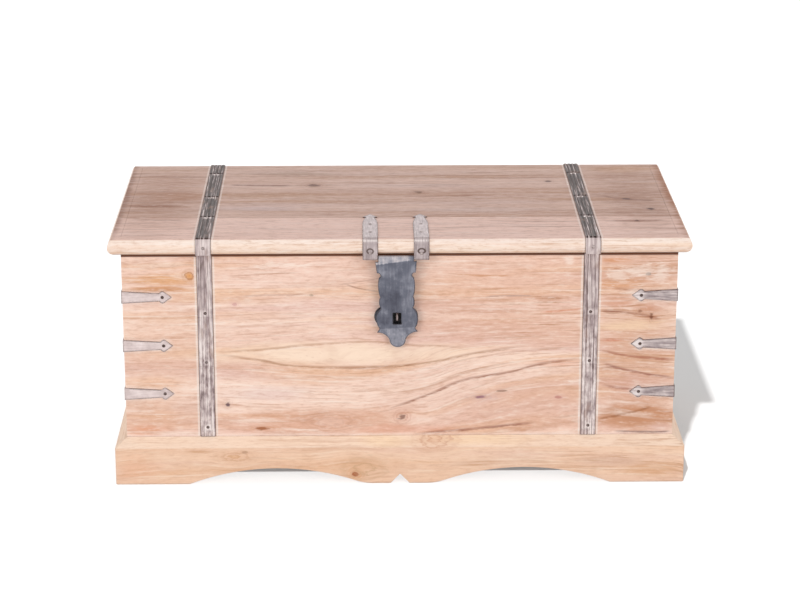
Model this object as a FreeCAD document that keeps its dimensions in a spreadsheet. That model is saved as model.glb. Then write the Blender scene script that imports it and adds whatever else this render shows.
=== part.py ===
"""Wooden storage chest with iron straps and a swinging hasp, as a parametric FreeCAD document.

Millimetres. The origin is on the floor under the middle of the chest, +Z up, the front faces -Y.
"""
import FreeCAD
import Part
import Sketcher
import math
import os

V = FreeCAD.Vector

REEDS = 4  # on every band
HEAD_FACETS = 8  # hammered round a nail head
OVERRUN = 1.0  # how far a cut runs past the face that it opens
STANDOFF = 10.0  # how far outside the chest a cutting sketch lies

# Driving sizes, one cell of the sheet each.
SIZES = {
    # Whole chest
    "chest_length": 900.0,
    "chest_depth": 450.0,
    "chest_height": 403.0,
    # Lid: boards inside a mitred moulding whose edge swells to a nose
    "lid_thickness": 26.0,
    "lid_overhang": 19.0,
    "lid_moulding_width": 20.0,
    "lid_under_round": 13.0,
    "lid_crown_ease": 4.0,
    "lid_arris_round": 1.0,
    "lid_front_board_width": 105.0,
    "lid_back_board_width": 55.0,
    "batten_width": 40.0,
    "batten_thickness": 18.0,
    "batten_inset": 201.0,
    "batten_end_gap": 16.0,
    # Carcass
    "wall_thickness": 20.0,
    "wall_base_height": 36.0,
    "cleat_size": 18.0,
    "floor_thickness": 12.0,
    # Plinth
    "plinth_thickness": 18.0,
    "plinth_face_height": 62.0,
    "plinth_bevel_rise": 13.0,
    "plinth_foot_length": 116.0,
    "arch_height": 26.0,
    "lobe_half_flat": 42.7,
    "lobe_round": 80.0,
    "notch_half_width": 15.0,
    "notch_height": 16.0,
    "side_foot_length": 80.0,
    # Reeded bands
    "band_inset": 131.0,
    "band_shift": -3.0,
    "band_reed_width": 6.0,
    "band_base_thickness": 1.2,
    "band_reed_rise": 1.0,
    "band_top_gap": 3.0,
    "band_leg_gap": 1.5,
    "band_flat_length": 14.0,
    "band_nail_high_drop": 98.0,
    "band_nail_middle_rise": 12.0,
    "band_nail_low_rise": 15.0,
    "lid_nail_front_inset": 120.0,
    "lid_nail_middle_shift": 12.0,
    "lid_nail_back_inset": 68.0,
    # Corner straps
    "strap_thickness": 1.5,
    "corner_strap_left_arm": 78.0,
    "corner_strap_right_arm": 71.5,
    "corner_strap_width": 19.5,
    "corner_strap_neck": 12.5,
    "corner_strap_head_length": 19.0,
    "corner_strap_head_width": 19.0,
    "corner_strap_nail_inset": 14.5,
    "corner_strap_margin": 71.5,
    # Nails
    "nail_shank_half": 1.0,
    "nail_shank_length": 14.0,
    "nail_head_radius": 2.7,
    "nail_head_crown": 1.3,
    "nail_head_height": 1.2,
    "nail_gap": 0.05,
    # Lid hinges
    "hinge_inset": 191.0,
    "hinge_length": 64.0,
    "hinge_leaf_thickness": 1.6,
    "hinge_leaf_reach": 21.0,
    "hinge_knuckle_radius": 4.2,
    "hinge_knuckle_gap": 0.4,
    "hinge_middle_knuckle": 24.0,
    "hinge_side_gap": 0.3,
    "hinge_pin_radius": 2.0,
    "hinge_wall_gap": 0.8,
    "hinge_relief": 0.5,
    "pin_gap": 0.05,
    "hinge_nail_spacing": 22.0,
    "hinge_nail_line": 10.5,
    "hinge_nail_head_half": 2.4,
    "hinge_nail_head_height": 0.8,
    # Hasp straps on the lid
    "hasp_centre": -6.5,
    "hasp_strap_spacing": 79.0,
    "hasp_strap_width": 23.5,
    "hasp_strap_reach": 137.0,
    "hasp_strap_head": 16.0,
    "hasp_strap_barb_width": 23.0,
    "hasp_strap_neck": 12.5,
    "hasp_strap_shoulder": 42.0,
    "hasp_strap_swell": 1.5,
    "hasp_strap_nail_far": 80.0,
    "hasp_strap_nail_near": 36.0,
    "hasp_strap_leg_nail": 8.0,
    # Hasp plate, measured down from its pin
    "hasp_pin_drop": 4.0,
    "hasp_pin_radius": 2.0,
    "hasp_knuckle_radius": 3.5,
    "hasp_side_gap": 0.4,
    "hasp_plate_thickness": 2.0,
    "hasp_rest_tilt": 5.0,
    "hasp_lean": 1.1,
    "hasp_shoulder_drop": 5.5,
    "hasp_shoulder_half": 32.0,
    "hasp_cheek_half": 30.0,
    "hasp_bite_drop": 28.0,
    "hasp_bite_radius": 4.0,
    "hasp_waist_half": 27.0,
    "hasp_first_cusp_drop": 64.5,
    "hasp_first_cusp_half": 25.7,
    "hasp_second_cusp_drop": 83.0,
    "hasp_second_cusp_half": 25.0,
    "hasp_scallop_swell": 2.2,
    "hasp_lobe_half": 32.3,
    "hasp_lobe_foot_drop": 117.5,
    "hasp_lobe_foot_half": 27.5,
    "hasp_barb_drop": 123.5,
    "hasp_barb_half": 31.5,
    "hasp_tip_neck_drop": 136.5,
    "hasp_tip_radius": 12.5,
    "hasp_slot_drop": 100.5,
    "hasp_slot_width": 13.0,
    "hasp_slot_height": 19.0,
    # Staple and its plate on the front wall
    "staple_bar_half": 1.6,
    "staple_leg_half_gap": 5.0,
    "staple_leg_bite": 12.0,
    "staple_nose_gap": 0.4,
    "staple_plate_half_length": 34.0,
    "staple_plate_half_height": 17.0,
    "staple_plate_shift": -1.5,
    "staple_plate_nail": 25.0,
}

# Places worked out from the driving sizes.
LAYOUT = {
    "half_length": "dim.chest_length / 2",
    "half_depth": "dim.chest_depth / 2",
    "lid_under": "dim.chest_height - dim.lid_thickness",
    "nose_height": "lid_under + dim.lid_under_round",
    "panel_half_x": "half_length - dim.lid_moulding_width",
    "panel_half_y": "half_depth - dim.lid_moulding_width",
    "lid_joint_front": "-panel_half_y + dim.lid_front_board_width",
    "lid_joint_back": "panel_half_y - dim.lid_back_board_width",
    "body_half_x": "half_length - dim.lid_overhang",
    "body_half_y": "half_depth - dim.lid_overhang",
    "inside_half_x": "body_half_x - dim.wall_thickness",
    "inside_half_y": "body_half_y - dim.wall_thickness",
    "floor_under": "dim.wall_base_height + dim.cleat_size",
    "plinth_half_x": "body_half_x + dim.plinth_thickness",
    "plinth_half_y": "body_half_y + dim.plinth_thickness",
    "plinth_top": "dim.plinth_face_height + dim.plinth_bevel_rise",
    "batten_place": "inside_half_x - dim.batten_inset",
    "band_left": "-body_half_x + dim.band_inset + dim.band_shift",
    "band_right": "body_half_x - dim.band_inset + dim.band_shift",
    "band_half_width": f"{REEDS} / 2 * dim.band_reed_width",
    "corner_strap_top": "lid_under - dim.corner_strap_margin",
    "corner_strap_bottom": "plinth_top + dim.corner_strap_margin",
    "corner_strap_middle": "(corner_strap_top + corner_strap_bottom) / 2",
    "board_joint": "(corner_strap_middle + corner_strap_bottom) / 2",
    "hinge_place": "body_half_x - dim.hinge_inset",
    "hinge_pin_y": "body_half_y + dim.hinge_wall_gap + dim.hinge_knuckle_radius",
    "hinge_pin_z": "lid_under - dim.hinge_leaf_thickness",
    "hinge_leaf_edge": "hinge_pin_y - dim.hinge_knuckle_radius - dim.hinge_knuckle_gap",
    "hasp_pin_y": "-half_depth - dim.strap_thickness + dim.hasp_knuckle_radius",
    "hasp_pin_z": "lid_under - dim.hasp_pin_drop",
    "hasp_knuckle_half": "(dim.hasp_strap_spacing - dim.hasp_strap_width) / 2 - dim.hasp_side_gap",
    "hasp_plate_back": "dim.hasp_knuckle_radius - dim.hasp_plate_thickness",
    "staple_place": "dim.hasp_centre + dim.hasp_slot_drop * sin(dim.hasp_lean)",
    "staple_height": "hasp_pin_z - dim.hasp_slot_drop * cos(dim.hasp_lean) * cos(dim.hasp_rest_tilt)"
                     " - hasp_plate_back * sin(dim.hasp_rest_tilt)",
    "staple_nose_y": "hasp_pin_y - hasp_plate_back * cos(dim.hasp_rest_tilt)"
                     " + dim.hasp_slot_drop * sin(dim.hasp_rest_tilt) + dim.staple_nose_gap",
    "staple_bend_y": "staple_nose_y + dim.staple_bar_half + dim.staple_leg_half_gap",
}

doc = FreeCAD.newDocument("storage_chest")
sheet = doc.addObject("Spreadsheet::Sheet", "dim")
for row, (alias, number) in enumerate(SIZES.items(), start=1):
    sheet.set(f"A{row}", alias)
    sheet.set(f"B{row}", str(number))
    sheet.setAlias(f"B{row}", alias)
doc.recompute()

layout = doc.addObject("App::VarSet", "layout")
for place, formula in LAYOUT.items():
    layout.addProperty("App::PropertyFloat", place)
    layout.setExpression(place, formula)
doc.recompute()

pieces = {}
pockets = []


def num(name):
    """The number behind a driving size or a place of the layout."""
    if name in LAYOUT:
        return getattr(layout, name)
    return float(sheet.get(name))


def keep(label, obj):
    """Names an object as a finished piece of the chest."""
    obj.Label = label
    pieces[label] = obj
    return obj


# Solids from primitives

BASE = ("Placement.Base.x", "Placement.Base.y", "Placement.Base.z")
TURNED = {
    "x": FreeCAD.Rotation(V(0, 1, 0), 90),
    "y": FreeCAD.Rotation(V(1, 0, 0), -90),
    "z": FreeCAD.Rotation(),
}


def bind(obj, names, formulas):
    for prop, text in zip(names, formulas):
        obj.setExpression(prop, text)


def block(name, lengths, corner):
    """A rectangular block from its three lengths and its lowest corner."""
    obj = doc.addObject("Part::Box", name)
    bind(obj, ("Length", "Width", "Height"), lengths)
    bind(obj, BASE, corner)
    return obj


def rod(name, radius, length, start, along):
    """A round rod that runs from start in the positive direction of an axis."""
    obj = doc.addObject("Part::Cylinder", name)
    obj.Placement = FreeCAD.Placement(V(), TURNED[along])
    bind(obj, ("Radius", "Height"), (radius, length))
    bind(obj, BASE, start)
    return obj


def fuse(name, parts):
    obj = doc.addObject("Part::MultiFuse", name)
    obj.Shapes = parts
    obj.Refine = True
    return obj


def cut(name, base, tools):
    obj = doc.addObject("Part::Cut", name)
    obj.Base = base
    obj.Tool = tools[0] if len(tools) == 1 else fuse(f"{name}_tools", tools)
    return obj


# Solids from sketches


def chain(stops):
    """Curves through stops: a point is reached by a line, a (middle, end) pair by an arc."""
    curves = []
    here = stops[0]
    for stop in stops[1:]:
        if isinstance(stop[0], tuple):
            middle, end = stop
            curves.append(Part.Arc(V(*here, 0), V(*middle, 0), V(*end, 0)))
        else:
            end = stop
            curves.append(Part.LineSegment(V(*here, 0), V(*end, 0)))
        here = end
    return curves


def closed(stops):
    return chain(list(stops) + [stops[0]])


def flipped(stop):
    if isinstance(stop[0], tuple):
        return tuple(flipped(point) for point in stop)
    return (-stop[0], stop[1])


def symmetric(stops):
    """A closed outline from one side of it, mirrored about the vertical axis."""
    curves = chain(stops) + chain([flipped(stop) for stop in stops])
    last = stops[-1][1] if isinstance(stops[-1][0], tuple) else stops[-1]
    for point in (stops[0], last):
        if abs(point[0]) > 1e-6:
            curves.append(Part.LineSegment(V(*point, 0), V(*flipped(point), 0)))
    return curves


def disc(centre, radius):
    return [Part.Circle(V(*centre, 0), V(0, 0, 1), radius)]


def square(centre, half):
    across, up = centre
    return closed([(across - half, up - half), (across + half, up - half),
                   (across + half, up + half), (across - half, up + half)])


def polar(centre, radius, degrees):
    """A point on a circle, with the angle counted upwards from the outward -u direction."""
    turn = math.radians(degrees)
    return (centre[0] - radius * math.cos(turn), centre[1] + radius * math.sin(turn))


def draw(body, name, plane, curves, offset):
    """A sketch on one of the body's origin planes, moved along its normal by a formula."""
    sketch = body.newObject("Sketcher::SketchObject", f"{body.Name}_{name}")
    sketch.AttachmentSupport = [(f, "") for f in body.Origin.OriginFeatures if f.Role == plane]
    sketch.MapMode = "FlatFace"
    sketch.setExpression("AttachmentOffset.Base.z", offset)
    for index, curve in enumerate(curves):
        sketch.addGeometry(curve, False)
        sketch.addConstraint(Sketcher.Constraint("Block", index))
    return sketch


def pad(body, name, plane, curves, offset, length, backward=False):
    """Material raised from a sketch along its normal: -Y from the XZ plane, else +X or +Z."""
    feature = body.newObject("PartDesign::Pad", f"{body.Name}_{name}_pad")
    feature.Profile = draw(body, name, plane, curves, offset)
    feature.setExpression("Length", length)
    feature.Reversed = backward
    body.Tip = feature


def pocket(body, name, plane, curves, offset, depth=None, backward=False):
    """Material cut away against a sketch's normal: +Y from the XZ plane, else -X or -Z.

    It goes all the way through unless it has a depth.
    """
    feature = body.newObject("PartDesign::Pocket", f"{body.Name}_{name}_pocket")
    feature.Profile = draw(body, name, plane, curves, offset)
    if depth:
        feature.setExpression("Length", depth)
    else:
        feature.Type = "ThroughAll"
    feature.Reversed = backward
    body.Tip = feature
    pockets.append(feature)


def new_body(label):
    return keep(label, doc.addObject("PartDesign::Body", label))


def quarter_turn(body, quarters):
    """Turns a piece about the chest's upright axis."""
    body.Placement = FreeCAD.Placement(V(), FreeCAD.Rotation(V(0, 0, 1), 90 * quarters))


def mitre(body, half_run, reach, width):
    """Cuts both ends of a rail, modelled along the front, at 45 degrees."""
    end = (half_run + OVERRUN, -reach - OVERRUN)
    back = -reach + width + OVERRUN
    corner = [end, (end[0], back), (half_run - width - OVERRUN, back)]
    triangles = closed(corner) + closed([flipped(point) for point in corner])
    pocket(body, "mitre", "XY_Plane", triangles, f"-{OVERRUN}", backward=True)


# Carcass: two boards to a wall, butted at the corners

LONG_WALL = ("2 * layout.body_half_x", "dim.wall_thickness")
END_WALL = ("dim.wall_thickness", "2 * layout.inside_half_y")
WALLS = {
    "front": (LONG_WALL, ("-layout.body_half_x", "-layout.body_half_y")),
    "back": (LONG_WALL, ("-layout.body_half_x", "layout.inside_half_y")),
    "left": (END_WALL, ("-layout.body_half_x", "-layout.inside_half_y")),
    "right": (END_WALL, ("layout.inside_half_x", "-layout.inside_half_y")),
}
WALL_LEVELS = {
    "lower": ("dim.wall_base_height", "layout.board_joint - dim.wall_base_height"),
    "upper": ("layout.board_joint", "layout.lid_under - layout.board_joint"),
}


def wall_board(name, side, level):
    plan, corner = WALLS[side]
    foot, height = WALL_LEVELS[level]
    return block(name, plan + (height,), corner + (foot,))


HINGES = {"left": "-layout.hinge_place", "right": "layout.hinge_place"}

for side in ("front", "back", "left", "right"):
    keep(f"{side}_board_lower", wall_board(f"{side}_board_lower", side, "lower"))
for side in ("front", "left", "right"):
    keep(f"{side}_board_upper", wall_board(f"{side}_board_upper", side, "upper"))

# The back wall's top edge takes both leaves of each hinge.
mortises = []
for side, centre in HINGES.items():
    mortises.append(block(
        f"hinge_mortise_{side}",
        ("dim.hinge_length + 2 * dim.hinge_side_gap", "dim.wall_thickness", "3 * dim.hinge_leaf_thickness"),
        (f"{centre} - dim.hinge_length / 2 - dim.hinge_side_gap",
         "layout.hinge_pin_y - dim.hinge_leaf_reach - dim.hinge_side_gap",
         "layout.lid_under - 2 * dim.hinge_leaf_thickness")))
back_blank = wall_board("back_board_upper_blank", "back", "upper")
keep("back_board_upper", cut("back_board_upper", back_blank, mortises))

for side, corner_y in (("front", "-layout.inside_half_y"), ("back", "0")):
    keep(f"floor_board_{side}", block(
        f"floor_board_{side}",
        ("2 * layout.inside_half_x", "layout.inside_half_y", "dim.floor_thickness"),
        ("-layout.inside_half_x", corner_y, "layout.floor_under")))
for side, corner_y in (("front", "-layout.inside_half_y"), ("back", "layout.inside_half_y - dim.cleat_size")):
    keep(f"floor_cleat_{side}", block(
        f"floor_cleat_{side}",
        ("2 * layout.inside_half_x", "dim.cleat_size", "dim.cleat_size"),
        ("-layout.inside_half_x", corner_y, "dim.wall_base_height")))


# Plinth: four mitred rails with a bevelled top and a scalloped lower edge


def arch_radius(half_span, height):
    return (half_span ** 2 + height ** 2) / (2 * height)


def scalloped_edge(half_run):
    """Right half of the long rails' lower edge, from the middle notch out to the foot."""
    foot = half_run - num("plinth_foot_length")
    height = num("arch_height")
    lobe, lobe_x = num("lobe_round"), num("lobe_half_flat")
    # The lobe's round leaves the floor line and runs smoothly into the arch, which takes what room is left.
    room = foot - lobe_x
    half_span = (room ** 2 - 2 * height * lobe) / (2 * room)
    apex = foot - half_span
    radius = arch_radius(half_span, height)
    share = radius / (radius + lobe)
    arch_z = height - radius
    meet = (apex + (lobe_x - apex) * share, arch_z + (lobe - arch_z) * share)
    lean = math.atan2(apex - lobe_x, lobe - arch_z) / 2
    lobe_middle = (lobe_x + lobe * math.sin(lean), lobe - lobe * math.cos(lean))
    return [
        (0.0, num("notch_height")),
        (num("notch_half_width"), 0.0),
        (lobe_x, 0.0),
        (lobe_middle, meet),
        ((apex, height), (foot, 0.0)),
    ]


def plain_arch_edge(half_run):
    """Right half of the end rails' lower edge, one arch between two feet."""
    foot = half_run - num("side_foot_length")
    height = num("arch_height")
    radius = arch_radius(foot, height)
    half_angle = math.asin(foot / radius) / 2
    middle = (radius * math.sin(half_angle), height - radius + radius * math.cos(half_angle))
    return [(0.0, height), (middle, (foot, 0.0))]


def plinth_rail(side, quarters, run, reach, lower_edge):
    body = new_body(f"plinth_{side}")
    half_run, outer = num(run), num(reach)
    thickness = num("plinth_thickness")
    face, top = num("plinth_face_height"), num("plinth_top")
    elevation = lower_edge(half_run) + [(half_run, 0.0), (half_run, top), (0.0, top)]
    inner_face = f"layout.{reach} - dim.plinth_thickness"
    pad(body, "face", "XZ_Plane", symmetric(elevation), inner_face, "dim.plinth_thickness")
    fall = OVERRUN * (top - face) / thickness
    inner = -outer + thickness
    bevel = [(-outer - OVERRUN, face - fall), (inner + OVERRUN, top + fall), (-outer - OVERRUN, top + fall)]
    pocket(body, "bevel", "YZ_Plane", closed(bevel), f"layout.{run} + {OVERRUN}")
    mitre(body, half_run, outer, thickness)
    quarter_turn(body, quarters)


plinth_rail("front", 0, "plinth_half_x", "plinth_half_y", scalloped_edge)
plinth_rail("right", 1, "plinth_half_y", "plinth_half_x", plain_arch_edge)
plinth_rail("back", 2, "plinth_half_x", "plinth_half_y", scalloped_edge)
plinth_rail("left", 3, "plinth_half_y", "plinth_half_x", plain_arch_edge)


# Lid


def lid_edge(reach, offset):
    """The lid's edge from the top arris to the nose, moved outward by an offset.

    Returns the end of the flat top, an arc over the arris and an arc over the crown.
    """
    rise = num("lid_thickness") - num("lid_under_round")
    crown = rise + num("lid_crown_ease")
    arris = num("lid_arris_round")
    crown_centre = (-reach + crown, num("nose_height"))
    climb = rise - arris
    run = math.sqrt((crown - arris) ** 2 - climb ** 2)
    arris_centre = (crown_centre[0] - run, crown_centre[1] + climb)
    lean = math.degrees(math.atan2(climb, run))
    flat_end = (arris_centre[0], arris_centre[1] + arris + offset)
    arris_arc = (polar(arris_centre, arris + offset, (lean + 90) / 2),
                 polar(arris_centre, arris + offset, lean))
    crown_arc = (polar(crown_centre, crown + offset, lean / 2),
                 polar(crown_centre, crown + offset, 0))
    return [flat_end, arris_arc, crown_arc]


def backwards(stops):
    """The same chain of lines and arcs, walked the other way."""
    ends = [stop[1] if isinstance(stop[0], tuple) else stop for stop in stops]
    result = [ends[-1]]
    for index in range(len(stops) - 1, 0, -1):
        stop = stops[index]
        arc = isinstance(stop[0], tuple)
        result.append((stop[0], ends[index - 1]) if arc else ends[index - 1])
    return result


def moulding_profile(reach):
    under, nose = num("lid_under"), num("nose_height")
    round_radius = num("lid_under_round")
    inner = -reach + num("lid_moulding_width")
    round_centre = (-reach + round_radius, nose)
    stops = [(inner, num("chest_height"))] + lid_edge(reach, 0.0)
    stops.append((polar(round_centre, round_radius, -45), (round_centre[0], under)))
    stops.append((inner, under))
    return closed(stops)


def lid_moulding(side, quarters, run, reach):
    body = new_body(f"lid_moulding_{side}")
    profile = moulding_profile(num(reach))
    pad(body, "edge", "YZ_Plane", profile, f"-layout.{run}", f"2 * layout.{run}")
    mitre(body, num(run), num(reach), num("lid_moulding_width"))
    quarter_turn(body, quarters)
    return body


def knuckle_relief(body):
    """Room over the hinge knuckles, cut into the back moulding before it is turned round."""
    half = num("hinge_length") / 2 + num("hinge_relief")
    room = num("hinge_knuckle_radius") + num("hinge_relief")
    high = num("hinge_pin_z") + room
    low = num("lid_under") - room
    notches = []
    for sign in (-1, 1):
        middle = sign * num("hinge_place")
        notches += closed([(middle - half, low), (middle + half, low),
                           (middle + half, high), (middle - half, high)])
    reach = "dim.hinge_knuckle_radius + dim.hinge_relief"
    pocket(body, "relief", "XZ_Plane", notches, f"layout.hinge_pin_y + {reach}", depth=f"2 * ({reach})")


lid_moulding("front", 0, "half_length", "half_depth")
lid_moulding("right", 1, "half_depth", "half_length")
knuckle_relief(lid_moulding("back", 2, "half_length", "half_depth"))
lid_moulding("left", 3, "half_depth", "half_length")

for name, low_y, high_y in (("front", "-layout.panel_half_y", "layout.lid_joint_front"),
                            ("middle", "layout.lid_joint_front", "layout.lid_joint_back"),
                            ("back", "layout.lid_joint_back", "layout.panel_half_y")):
    keep(f"lid_board_{name}", block(
        f"lid_board_{name}",
        ("2 * layout.panel_half_x", f"{high_y} - ({low_y})", "dim.lid_thickness"),
        ("-layout.panel_half_x", low_y, "layout.lid_under")))

for side, centre in (("left", "-layout.batten_place"), ("right", "layout.batten_place")):
    keep(f"lid_batten_{side}", block(
        f"lid_batten_{side}",
        ("dim.batten_width", "2 * (layout.inside_half_y - dim.batten_end_gap)", "dim.batten_thickness"),
        (f"{centre} - dim.batten_width / 2", "-layout.inside_half_y + dim.batten_end_gap",
         "layout.lid_under - dim.batten_thickness")))


# Wrought nails: a faceted head on a square shank


def facet_ring(radius, height):
    """The corners of a nail head at one height, turned so that its flats face the shank's."""
    corners = []
    for index in range(HEAD_FACETS):
        turn = 2 * math.pi * (index + 0.5) / HEAD_FACETS
        corners.append(V(radius * math.cos(turn), radius * math.sin(turn), height))
    return corners


def flat_face(corners):
    return Part.Face(Part.makePolygon(corners + [corners[0]]))


def nail(foot, outward):
    """One nail whose head sits on foot and faces outward."""
    half, length = num("nail_shank_half"), num("nail_shank_length")
    brim = facet_ring(num("nail_head_radius"), 0)
    crown = facet_ring(num("nail_head_crown"), num("nail_head_height"))
    facets = [flat_face(brim), flat_face(crown)]
    for index in range(HEAD_FACETS):
        facets.append(flat_face([brim[index - 1], brim[index], crown[index], crown[index - 1]]))
    head = Part.makeSolid(Part.makeShell(facets))
    shank = Part.makeBox(2 * half, 2 * half, length, V(-half, -half, -length))
    solid = head.fuse(shank).removeSplitter().Solids[0]
    solid.Placement = FreeCAD.Placement(V(*foot), FreeCAD.Rotation(V(0, 0, 1), V(*outward)))
    return solid


def nail_group(label, spots):
    """A set of nails as one piece, from (foot, outward) pairs."""
    obj = keep(label, doc.addObject("Part::Feature", label))
    obj.Shape = Part.makeCompound([nail(foot, outward) for foot, outward in spots])


nail_hole = num("nail_shank_half") + num("nail_gap")
FRONT, UP = (0, -1, 0), (0, 0, 1)


# Reeded iron bands up the front and over the lid


def reeds(level):
    """The top of a band: reeds side by side over a flat base."""
    width, rise = num("band_reed_width"), num("band_reed_rise")
    low = level + num("band_base_thickness")
    stops = [(-num("band_half_width"), low)]
    for index in range(REEDS):
        left = index * width - num("band_half_width")
        stops.append(((left + width / 2, low + rise), (left + width, low)))
    return stops


def shifted(stops, step):
    return [tuple((p[0] + step, p[1]) for p in stop) if isinstance(stop[0], tuple)
            else (stop[0] + step, stop[1]) for stop in stops]


def downwards(stops):
    return [tuple((p[0], -p[1]) for p in stop) if isinstance(stop[0], tuple)
            else (stop[0], -stop[1]) for stop in stops]


FRONT_BAND_NAILS = [
    num("plinth_top") + num("band_nail_low_rise"),
    num("board_joint") + num("band_nail_middle_rise"),
    num("lid_under") - num("band_nail_high_drop"),
]
LID_BAND_NAILS = [
    -num("half_depth") + num("lid_nail_front_inset"),
    num("lid_nail_middle_shift"),
    num("half_depth") - num("lid_nail_back_inset"),
]
SIDES = {"left": -1, "right": 1}


def front_band(side):
    body = new_body(f"front_band_{side}")
    centre = num(f"band_{side}")
    wall = num("body_half_y")
    half = num("band_half_width")
    section = [(-half, wall)] + reeds(wall) + [(half, wall)]
    pad(body, "section", "XY_Plane", closed(shifted(downwards(section), centre)), "layout.plinth_top",
        "layout.lid_under - dim.band_top_gap - layout.plinth_top")
    flats = []
    flat_half = num("band_flat_length") / 2
    near = -wall - num("band_base_thickness")
    far = near - 2 * num("band_reed_rise")
    for height in FRONT_BAND_NAILS:
        flats += closed([(near, height - flat_half), (near, height + flat_half),
                         (far, height + flat_half), (far, height - flat_half)])
    pocket(body, "flats", "YZ_Plane", flats, f"{centre} + layout.band_half_width + {OVERRUN}")
    holes = []
    for height in FRONT_BAND_NAILS:
        holes += square((centre, height), nail_hole)
    pocket(body, "holes", "XZ_Plane", holes, "layout.half_depth")


def lid_band(side):
    body = new_body(f"lid_band_{side}")
    centre = num(f"band_{side}")
    reach, top = num("half_depth"), num("chest_height")
    base = num("band_base_thickness")
    half = num("band_half_width")
    leg_end = num("lid_under") + num("band_leg_gap")
    inner, outer = lid_edge(reach, 0.0), lid_edge(reach, base)
    wrap = [(0.0, top + base)] + outer + [(-reach - base, leg_end), (-reach, leg_end)]
    wrap += backwards(inner) + [(0.0, top)]
    pad(body, "wrap", "YZ_Plane", symmetric(wrap), f"{centre} - layout.band_half_width",
        "2 * layout.band_half_width")
    run = -inner[0][0]
    section = [(-half, top + base / 2)] + reeds(top) + [(half, top + base / 2)]
    pad(body, "reeds", "XZ_Plane", closed(shifted(section, centre)), str(-run), str(2 * run))
    flat_half = num("band_flat_length") / 2
    high = top + base + 2 * num("band_reed_rise")
    flats = []
    for place in LID_BAND_NAILS:
        flats += closed([(place - flat_half, top + base), (place + flat_half, top + base),
                         (place + flat_half, high), (place - flat_half, high)])
    pocket(body, "flats", "YZ_Plane", flats, f"{centre} + layout.band_half_width + {OVERRUN}")
    holes = []
    for place in LID_BAND_NAILS:
        holes += square((centre, place), nail_hole)
    pocket(body, "holes", "XY_Plane", holes, f"dim.chest_height + {STANDOFF}")
    leg_hole = square((centre, num("nose_height")), nail_hole)
    pocket(body, "leg_holes", "XZ_Plane", leg_hole, f"layout.half_depth + {STANDOFF}")


for side in SIDES:
    front_band(side)
    lid_band(side)

front_spots = []
lid_spots = []
for side in SIDES:
    band_x = num(f"band_{side}")
    base = num("band_base_thickness")
    front_spots += [((band_x, -num("body_half_y") - base, height), FRONT) for height in FRONT_BAND_NAILS]
    lid_spots += [((band_x, place, num("chest_height") + base), UP) for place in LID_BAND_NAILS]
    for facing in (-1, 1):
        leg_face = facing * (num("half_depth") + base)
        lid_spots.append(((band_x, leg_face, num("nose_height")), (0, facing, 0)))
nail_group("front_band_nails", front_spots)


# Corner straps: three to a corner, a spade-headed arm on each face


def strap_arm(corner, inward, height, arm):
    """The outline of one arm, from the chest's corner inwards, with its nail hole."""
    half, neck = num("corner_strap_width") / 2, num("corner_strap_neck") / 2
    head, head_half = num("corner_strap_head_length"), num("corner_strap_head_width") / 2
    root = arm - head
    shoulder = root + head / 3
    upper = [
        (0.0, half),
        (root, neck),
        ((root + head / 12, (neck + 2 * head_half) / 3), (shoulder, head_half)),
        (arm, 0.0),
    ]

    def place(stop, flip):
        if isinstance(stop[0], tuple):
            return tuple(place(point, flip) for point in stop)
        return (corner + inward * stop[0], height + flip * stop[1])

    curves = chain([place(stop, 1) for stop in upper])
    curves += chain([place(stop, -1) for stop in upper])
    curves += chain([place(upper[0], 1), place(upper[0], -1)])
    return curves + square(place((arm - num("corner_strap_nail_inset"), 0.0), 1), nail_hole)


def corner_strap(label, side, side_y, height):
    body = new_body(label)
    side_x, arm = SIDES[side], num(f"corner_strap_{side}_arm")
    skin = num("strap_thickness")
    corner_x = side_x * (num("body_half_x") + skin)
    corner_y = side_y * (num("body_half_y") + skin)
    pad(body, "front_arm", "XZ_Plane", strap_arm(corner_x, -side_x, height, arm),
        f"{-side_y} * layout.body_half_y", "dim.strap_thickness", backward=side_y > 0)
    pad(body, "end_arm", "YZ_Plane", strap_arm(corner_y, -side_y, height, arm),
        f"{side_x} * layout.body_half_x", "dim.strap_thickness", backward=side_x < 0)
    run = arm - num("corner_strap_nail_inset")
    return [((corner_x - side_x * run, corner_y, height), (0, side_y, 0)),
            ((corner_x, corner_y - side_y * run, height), (side_x, 0, 0))]


corner_spots = []
for end, side_y in (("front", -1), ("back", 1)):
    for side in SIDES:
        for level in ("top", "middle", "bottom"):
            strap_z = num(f"corner_strap_{level}")
            corner_spots += corner_strap(f"corner_strap_{end}_{side}_{level}", side, side_y, strap_z)
nail_group("corner_strap_nails", corner_spots)


# Lid hinges: two butt hinges let into the back wall


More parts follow.
